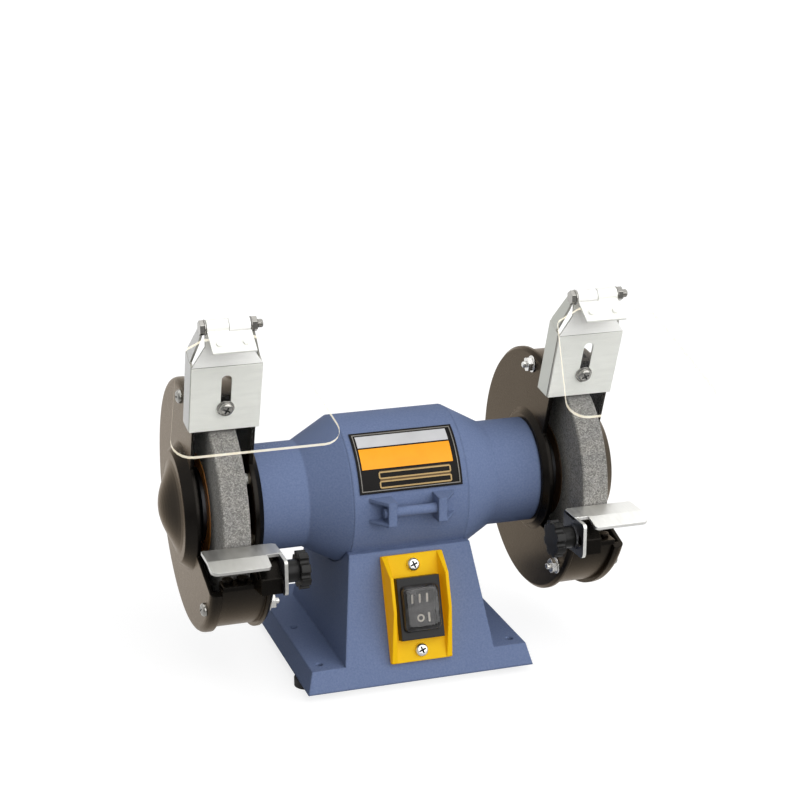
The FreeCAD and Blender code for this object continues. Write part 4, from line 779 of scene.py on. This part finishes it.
def build_shield(word, side):
    """A clear sheet with polished edges that shine with a painted glow."""
    bm = bmesh.new()
    outline = rounded([
        (-SHIELD_TONGUE, -SHIELD_TOP), (-SHIELD_SHOULDER_HALF, -SHIELD_SHOULDER),
        (-SHIELD_HALF, -SHIELD_REACH), (SHIELD_HALF, -SHIELD_REACH),
        (SHIELD_SHOULDER_HALF, -SHIELD_SHOULDER), (SHIELD_TONGUE, -SHIELD_TOP)],
        [0.0, SHOULDER_CORNER, SHIELD_CORNER, SHIELD_CORNER, SHOULDER_CORNER, 0.0])
    holes = [
        circle(-SHIELD_SHIFT + end * RIVET_SPREAD, -RIVET_DROP, RIVET_HOLE, 16) for end in (-1, 1)]
    low = -JOINT_GAP - SHIELD_THICKNESS
    tilt = shift(0.0, hinge.y, hinge.z) @ turn_x(SHIELD_TILT)
    add_plate(bm, [outline] + holes, SHIELD_THICKNESS,
              shift(SPARK_MIDDLE + SHIELD_SHIFT, 0.0, low), 0, 1)
    piece(word + "_eye_shield_sheet", bm, word + "_shield", [clear, clear_edge],
          mirrored(side) @ tilt, [word + "_eye_shield"])


def along(x, y, z, side):
    """A frame whose Z axis points outwards along the shaft."""
    return shift(x, y, z) @ Matrix.Rotation(math.radians(90.0 * side), 4, "Y")


def build_guard_fasteners():
    """The screws through each cover and guard, with a washer and nut behind the guard."""
    screws = bmesh.new()
    nuts = bmesh.new()
    for _, side in SIDES:
        for degrees in BOLT_ANGLES:
            y = BOLT_CIRCLE * math.cos(math.radians(degrees))
            z = AXIS_HEIGHT + BOLT_CIRCLE * math.sin(math.radians(degrees))
            turn = Matrix.Rotation(math.radians(degrees * 3.0), 4, "Z")
            outer = along(side * COVER_FACE, y, z, side)
            add_cross_head(screws, SCREW_HEAD_RADIUS, SCREW_HEAD_HEIGHT, outer @ turn)
            shank = [(SCREW_RADIUS, NECK_FACE), (SCREW_RADIUS, COVER_FACE)]
            add_turned(screws, shank, along(0.0, y, z, side), 20)
            inner = along(side * PLATE_FACE, y, z, -side)
            add_turned(nuts, NUT_WASHER, inner, 28)
            add_hexagon(
                nuts, NUT_FLATS, NUT_HEIGHT, inner @ shift(0.0, 0.0, NUT_WASHER_HEIGHT) @ turn,
                hole=NUT_BORE)
            add_turned(nuts, BOLT_END, inner, 20)
    piece("guard_cover_screw_heads", screws, "frame", [screw_zinc, recess],
          stands_for=["guard_cover_screws"])
    piece("guard_cover_nut_set", nuts, "frame", [bright_zinc],
          stands_for=["guard_cover_nuts"], bevel=0.3)


def build_spark_screws():
    """The screw that holds each spark bracket in its slot, on a washer."""
    bm = bmesh.new()
    seat = shift(SPARK_MIDDLE, -SPARK_OFFSET - SPARK_SHEET, SPARK_SCREW) @ UPRIGHT
    for _, side in SIDES:
        washer = mirrored(side) @ leaned @ seat
        add_turned(bm, SPARK_WASHER, washer, 28)
        head = washer @ shift(0.0, 0.0, SPARK_WASHER_HEIGHT) @ Matrix.Rotation(SPARK_HEAD_TURN, 4, "Z")
        add_cross_head(bm, SPARK_HEAD_RADIUS, SPARK_HEAD_HEIGHT, head)
        shank = [(SPARK_SCREW_RADIUS, -SPARK_SCREW_DEPTH), (SPARK_SCREW_RADIUS, 0.0)]
        add_turned(bm, shank, washer, 20)
    piece("spark_guard_screw_heads", bm, "frame", [screw_zinc, recess],
          stands_for=["spark_guard_screws"])


def build_hinge_bolt(word, side):
    """Hex head at the left end, nut, washer and threaded end at the right."""
    bm = bmesh.new()
    middle = side * SPARK_MIDDLE
    reach = NECK_HALF + JOINT_GAP
    at_start = shift(middle - reach, hinge.y, hinge.z) @ RIGHTWARDS
    at_end = shift(middle + reach, hinge.y, hinge.z) @ RIGHTWARDS
    for place, height in ((at_start, -HINGE_HEAD_WASHER), (at_end, HINGE_NUT_WASHER)):
        rim = HINGE_WASHER_RADIUS
        add_turned(bm, [(rim, 0.0), (rim, height), (0.0, height)], place, 28)
    head_low = -HINGE_HEAD_WASHER - HINGE_HEAD_HEIGHT
    add_hexagon(bm, HINGE_FLATS, HINGE_HEAD_HEIGHT, at_start @ shift(0.0, 0.0, head_low))
    add_hexagon(
        bm, HINGE_FLATS, HINGE_NUT_HEIGHT, at_end @ shift(0.0, 0.0, HINGE_NUT_WASHER),
        hole=HINGE_NUT_BORE)
    thread = [(HINGE_BOLT_RADIUS - 0.3, -2 * NECK_HALF)]
    height = THREAD_START
    while height < THREAD_END:
        thread += [
            (HINGE_BOLT_RADIUS - 0.35, height), (HINGE_BOLT_RADIUS, height + THREAD_PITCH / 2)]
        height += THREAD_PITCH
    thread += [(HINGE_BOLT_RADIUS - 0.6, HINGE_BOLT_END), (0.0, HINGE_BOLT_END)]
    add_turned(bm, thread, at_end, 24)
    piece(word + "_hinge_bolt_set", bm, word + "_spark_guard", [screw_zinc],
          stands_for=[word + "_hinge_bolt"], bevel=0.25)


# the switch stands on the sloping front face, with -Y outwards in its own frame
front_slope = math.atan2(PEDESTAL_FRONT - PEDESTAL_TOP_FRONT, PEDESTAL_TOP - PEDESTAL_LOW)
switch_y = -(PEDESTAL_FRONT - math.tan(front_slope) * (SWITCH_HEIGHT - PEDESTAL_LOW))
on_front = shift(0.0, switch_y, SWITCH_HEIGHT) @ Matrix.Rotation(-front_slope, 4, "X")


def build_switch_screws():
    bm = bmesh.new()
    for spread in (-SWITCH_SCREW_SPREAD, SWITCH_SCREW_SPREAD):
        seat = on_front @ shift(0.0, -SWITCH_SHEET, spread) @ UPRIGHT
        add_cross_head(
            bm, SCREW_HEAD_RADIUS, SCREW_HEAD_HEIGHT, seat @ Matrix.Rotation(SWITCH_HEAD_TURN, 4, "Z"))
        add_turned(bm, [(SCREW_RADIUS, -SWITCH_SCREW_DEPTH), (SCREW_RADIUS, 0.0)], seat, 20)
    piece("switch_plate_screw_heads", bm, "frame", [bright_zinc, recess],
          stands_for=["switch_plate_screws"])


def build_switch_plate():
    """The yellow surround: a flat plate with an opening, and a tapered wall along each side."""
    bm = bmesh.new()
    width = SWITCH_HALF_WIDTH
    height = SWITCH_HALF_HEIGHT
    opening = rectangle(
        -SWITCH_OPENING_HALF_WIDTH, -SWITCH_OPENING_HALF_HEIGHT,
        SWITCH_OPENING_HALF_WIDTH, SWITCH_OPENING_HALF_HEIGHT)
    holes = [
        circle(0.0, spread, SWITCH_SCREW_HOLE, 20)
        for spread in (-SWITCH_SCREW_SPREAD, SWITCH_SCREW_SPREAD)]
    add_plate(bm, [
        rounded(rectangle(-width, -height, width, height), SWITCH_CORNER, 3), opening] + holes,
        SWITCH_SHEET, on_front @ UPRIGHT)
    wall_profile = [(-0.985, 0.3), (-0.04, SWITCH_WALL_RISE), (0.6, SWITCH_WALL_RISE), (0.985, 0.3)]
    wall_foot = SWITCH_SHEET * 0.6
    for side in (-1.0, 1.0):
        rows = []
        for share, rise in wall_profile:
            draft = rise / SWITCH_WALL_RISE
            wall_top = SWITCH_SHEET + rise
            section = (
                (width - 0.15 - 0.85 * draft, wall_top), (width - 3.55 + 0.55 * draft, wall_top),
                (width - 3.6, wall_foot), (width - 0.1, wall_foot))
            rows.append([bm.verts.new((side * x, share * height, z)) for x, z in section])
        faces = [bm.faces.new(rows[0]), bm.faces.new(rows[-1])]
        for low, high in zip(rows, rows[1:]):
            for i in range(4):
                j = (i + 1) % 4
                faces.append(bm.faces.new((low[i], low[j], high[j], high[i])))
        bmesh.ops.recalc_face_normals(bm, faces=faces)
        bmesh.ops.transform(bm, matrix=on_front @ UPRIGHT, verts=[v for row in rows for v in row])
    piece("switch_surround", bm, "frame", [yellow],
          stands_for=["switch_plate"], bevel=0.35)


def build_rest(word, side):
    """Folded sheet: a table with a drooping lip in front and a slotted cheek turned down inside."""
    bm = bmesh.new()
    bend_radius = REST_BEND_RADIUS
    droop = math.atan2(LIP_DROP, LIP_REACH)
    bend_start = REST_BEND - REST_BACK - bend_radius * math.tan(droop / 2)
    bend_length = bend_radius * droop
    lip_length = math.hypot(LIP_REACH, LIP_DROP) - bend_radius * math.tan(droop / 2)
    end = bend_start + bend_length + lip_length
    notch = REST_IN + REST_NOTCH
    outline = rounded([
        (REST_IN, -REST_CORNER), (REST_IN, -bend_start), (notch, -bend_start), (notch, -end),
        (REST_OUT, -end), (REST_OUT, 0.0), (REST_IN + REST_CORNER, 0.0)],
        [0.0, 0.0, 0.0, LIP_INNER_CORNER, LIP_OUTER_CORNER, REST_OUTER_CORNER, 0.0])
    add_plate(bm, [outline], REST_SHEET, shift(0.0, 0.0, -REST_SHEET))
    bend_cuts = 4
    cut_across(bm, [-(bend_start + bend_length * i / bend_cuts) for i in range(bend_cuts + 1)])
    for vert in bm.verts:
        past = -vert.co.y - bend_start
        y = -REST_BACK + vert.co.y
        z = vert.co.z
        if past > 0.0:
            turned = min(past / bend_radius, droop)
            straight = max(0.0, past - bend_length)
            deep = bend_radius + vert.co.z
            y = -REST_BACK - bend_start - deep * math.sin(turned) - straight * math.cos(turned)
            z = deep * math.cos(turned) - bend_radius - straight * math.sin(turned)
        vert.co = Vector((vert.co.x, y, REST_TOP + z))
    cheek = rounded([
        (-REST_BACK - REST_CORNER, REST_TOP - FOLD_OVERLAP), (-CHEEK_FRONT, REST_TOP - FOLD_OVERLAP),
        (-CHEEK_FRONT, REST_TOP - CHEEK_HEIGHT), (-REST_BACK, REST_TOP - CHEEK_HEIGHT),
        (-REST_BACK, REST_TOP - REST_CORNER)],
        [0.0, CHEEK_FRONT_CORNER, CHEEK_LOW_CORNER, CHEEK_LOW_CORNER, 0.0])
    slot = [(y - KNOB_REACH, z + KNOB_HEIGHT) for z, y in stadium(
        0.0, -REST_SLOT_HALF - REST_SLOT_RADIUS, REST_SLOT_HALF + REST_SLOT_RADIUS, REST_SLOT_RADIUS)]
    add_plate(bm, [cheek, slot], REST_SHEET, shift(REST_IN, 0.0, 0.0) @ SIDEWAYS, 1, 0)
    # painted shade on the left table and painted light on the right table, from the two copies of the
    # zinc
    table = zinc_rest_painted_shade if side < 0 else zinc_rest_painted_lit
    piece(word + "_tool_rest_sheet", bm, word + "_rest", [table, zinc_cheek_painted_shade],
          mirrored(side), [word + "_tool_rest"], bevel=0.4)


def build_boot():
    """A thin moulded cap: each level is a rounded rectangle, drawn in towards the crowned top."""
    bm = bmesh.new()
    levels = [(0.0, 0.0), (BOOT_DEPTH * 0.55, 0.5), (BOOT_DEPTH * 0.82, 1.1), (BOOT_DEPTH * 0.96, 2.2),
              (BOOT_DEPTH, 3.6)]
    rings = []
    for height, inset in levels:
        x = BOOT_HALF_WIDTH - inset
        y = BOOT_HALF_HEIGHT - inset
        loop = rounded(rectangle(-x, -y, x, y), BOOT_CORNER, 5)
        rings.append([bm.verts.new((x, y, height)) for x, y in loop])
    count = len(rings[0])
    for low, high in zip(rings, rings[1:]):
        for i in range(count):
            bm.faces.new((low[i], low[(i + 1) % count], high[(i + 1) % count], high[i]))
    bm.faces.new(rings[-1])
    bmesh.ops.recalc_face_normals(bm, faces=bm.faces)
    piece("switch_boot_cap", bm, "frame", [smoke],
          on_front @ shift(0.0, -BEZEL_FRONT, 0.0) @ UPRIGHT, ["switch_boot"], sharp=60.0)


def build_rocker_marks():
    """The on and off marks, bars and a ring, just proud of the rocker's two faces."""
    bm = bmesh.new()
    tilt = math.degrees(math.atan2(ROCKER_RISE, ROCKER_HALF_HEIGHT))
    face = shift(0.0, ROCKER_SINK - BEZEL_FRONT, 0.0)
    upper = on_front @ face @ turn_x(tilt) @ UPRIGHT
    lower = on_front @ face @ UPRIGHT
    for x in (-4.6, 0.0, 4.6):
        add_plate(bm, [stadium(x, 2.8, 8.6, MARK_BAR_HALF, 6)], MARK_PROUD, upper)
    ring = [circle(0.0, -6.2, radius, 28) for radius in (2.3, 1.3)]
    add_plate(bm, ring, MARK_PROUD, lower)
    add_plate(bm, [stadium(5.2, -9.0, -3.2, MARK_BAR_HALF, 6)], MARK_PROUD, lower)
    piece("rocker_marks", bm, "rocker", [white_mark])


def wrap_on_drum(bm, base):
    """Rolls a flat mesh (x, arc length down from the plate's top, thickness) on to the drum."""
    span = math.radians(NAMEPLATE_SPAN) * base
    cuts = 14
    cut_across(bm, [-span * i / cuts for i in range(1, cuts)])
    for vert in bm.verts:
        radius = base + vert.co.z
        angle = math.radians(90.0 + NAMEPLATE_TOP) - vert.co.y / base
        y = radius * math.cos(angle)
        z = AXIS_HEIGHT + radius * math.sin(angle)
        vert.co = Vector((vert.co.x, y, z))


def build_nameplate():
    """A printed plate with a raised dark frame: a silver band, an orange band and two outlined bars.

    The material slots are 0 black, 1 pale line, 2 silver, 3 orange, 4 gold, 5 brown."""
    bm = bmesh.new()
    base = DRUM_RADIUS + NAMEPLATE_SEAT
    span = math.radians(NAMEPLATE_SPAN) * base
    half = NAMEPLATE_HALF

    def patch(x0, y0, x1, y1, high, slot, low=PLATE_BACK, line=None, radius=0.0):
        """A field from y0 down to y1, or a frame round it where line gives its width."""
        outer = rectangle(x0, -y1, x1, -y0)
        loops = [rounded(outer, radius) if radius else outer]
        if line:
            inner = rectangle(x0 + line, -y1 + line, x1 - line, -y0 - line)
            loops.append(rounded(inner, max(0.2, radius - line)) if radius else inner)
        add_plate(bm, loops, high - low, shift(0.0, 0.0, low), slot)

    edge = PLATE_FRAME_WIDTH
    patch(-half, 0.0, half, span, PLATE_BACK, 0, low=0.0)
    patch(-half, 0.0, half, span, PLATE_FRAME, 0, line=edge)
    patch(-half + edge, edge, half - edge, span - edge, PLATE_FRAME, 1, line=PLATE_LINE_WIDTH)
    left = -half + 3.0
    right = half - 4.2
    patch(left, 2.6, right, 10.6, PLATE_PRINT, 2)
    patch(left, 11.6, right, 24.4, PLATE_PRINT, 3)
    bar_left = left + 9.4
    bar_right = right - 2.0
    patch(bar_left + 0.6, 25.8, bar_right - 0.6, 36.2, PLATE_FIELD, 5)
    for top in (26.2, 31.6):
        low = top + BAR_HEIGHT
        patch(bar_left, top, bar_right, low, PLATE_PRINT, 0, radius=BAR_CORNER)
        patch(bar_left, top, bar_right, low, PLATE_BAR, 4, line=BAR_LINE_WIDTH, radius=BAR_CORNER)
    wrap_on_drum(bm, base)
    piece("nameplate_print", bm, "frame",
          [black_print, pale_line, silver_print, orange_print, gold_print, brown_print],
          stands_for=["nameplate"])


for word, side in SIDES:
    build_spark_bracket(word, side)
    build_shield(word, side)
    build_hinge_bolt(word, side)
    build_rest(word, side)
build_guard_fasteners()
build_spark_screws()
build_switch_screws()
build_switch_plate()
build_boot()
build_rocker_marks()
build_nameplate()

# the floor is white where it is seen, and dimmer in reflections in front of the object
floor_mesh = bpy.data.meshes.new("floor")
floor_mesh.from_pydata(
    [(x, y, 0.0) for x, y in rectangle(-FLOOR_HALF, -FLOOR_HALF, FLOOR_HALF, FLOOR_HALF)],
    [], [(0, 1, 2, 3)])
floor = bpy.data.objects.new("floor", floor_mesh)
bpy.context.scene.collection.objects.link(floor)
floor_mat, floor_tree, floor_bsdf = new_material("pale_floor")
floor_bsdf.inputs["Base Color"].default_value = grey(FLOOR_ALBEDO) + (1.0,)
floor_bsdf.inputs["Roughness"].default_value = 0.9
floor_bsdf.inputs["Specular IOR Level"].default_value = 0.0
floor_mesh.materials.append(floor_mat)
path = add(floor_tree, "ShaderNodeLightPath")
spot = add(floor_tree, "ShaderNodeNewGeometry")
spot_split = add(floor_tree, "ShaderNodeSeparateXYZ")
floor_tree.links.new(spot.outputs["Position"], spot_split.inputs["Vector"])
glow = add(floor_tree, "ShaderNodeMath", operation="MULTIPLY")
floor_tree.links.new(path.outputs["Is Glossy Ray"], glow.inputs[0])
floor_tree.links.new(
    map_range(floor_tree, spot_split.outputs["Y"], FLOOR_FADE, (0.0, 1.0)), glow.inputs[1])
strength = add(floor_tree, "ShaderNodeMath", operation="MULTIPLY")
floor_tree.links.new(full_where_seen(floor_tree, path, glow.outputs["Value"]), strength.inputs[0])
strength.inputs[1].default_value = FLOOR_GLOW
floor_tree.links.new(strength.outputs["Value"], floor_bsdf.inputs["Emission Strength"])
floor_bsdf.inputs["Emission Color"].default_value = (1.0, 1.0, 1.0, 1.0)

# the backdrop is white where it is seen, and the room in front of the object is dimmer in reflections
world = bpy.data.worlds.new("studio")
bpy.context.scene.world = world
world.use_nodes = True
sky = world.node_tree
background = sky.nodes["Background"]
background.inputs["Color"].default_value = (1.0, 1.0, 1.0, 1.0)
sky_path = add(sky, "ShaderNodeLightPath")
sky_place = add(sky, "ShaderNodeTexCoord")
sky_split = add(sky, "ShaderNodeSeparateXYZ")
sky.links.new(sky_place.outputs["Generated"], sky_split.inputs["Vector"])
reflected = add(sky, "ShaderNodeMix")
sky.links.new(sky_path.outputs["Is Glossy Ray"], reflected.inputs["Factor"])
reflected.inputs["A"].default_value = WORLD_LIGHT
sky.links.new(
    map_range(sky, sky_split.outputs["Y"], ROOM_FADE, (WORLD_FRONT, 1.0)), reflected.inputs["B"])
sky.links.new(
    full_where_seen(sky, sky_path, reflected.outputs["Result"]), background.inputs["Strength"])


def soft_sun(name, toward, strength, angle):
    data = bpy.data.lights.new(name, "SUN")
    data.energy = strength
    data.angle = math.radians(angle)
    lamp = bpy.data.objects.new(name, data)
    bpy.context.scene.collection.objects.link(lamp)
    lamp.rotation_euler = Vector(toward).to_track_quat("Z", "Y").to_euler()


soft_sun("key", toward=(0.42, -0.84, 0.40), strength=3.2, angle=80.0)
soft_sun("top", toward=(-0.1, 0.2, 1.0), strength=0.55, angle=60.0)

azimuth = math.radians(CAMERA_AZIMUTH)
elevation = math.radians(CAMERA_ELEVATION)
roll = math.radians(CAMERA_ROLL)
level = math.cos(elevation)
back = Vector((math.sin(azimuth) * level, -math.cos(azimuth) * level, math.sin(elevation)))
right = (-back).cross(Vector((0, 0, 1))).normalized()
up = right.cross(-back)
right_rolled = right * math.cos(roll) + up * math.sin(roll)
up_rolled = up * math.cos(roll) - right * math.sin(roll)
camera_data = bpy.data.cameras.new("camera")
camera_data.sensor_width = CAMERA_SENSOR
camera_data.lens = CAMERA_LENS
camera_data.shift_x, camera_data.shift_y = CAMERA_SHIFT
camera = bpy.data.objects.new("camera", camera_data)
bpy.context.scene.collection.objects.link(camera)
turn = Matrix((right_rolled, up_rolled, back)).transposed().to_4x4()
target = Vector((0.0, SETBACK, CAMERA_TARGET_HEIGHT)) * MM
camera.matrix_world = Matrix.Translation(target + back * CAMERA_DISTANCE) @ turn
bpy.context.scene.camera = camera
bpy.context.scene.view_settings.view_transform = "Standard"
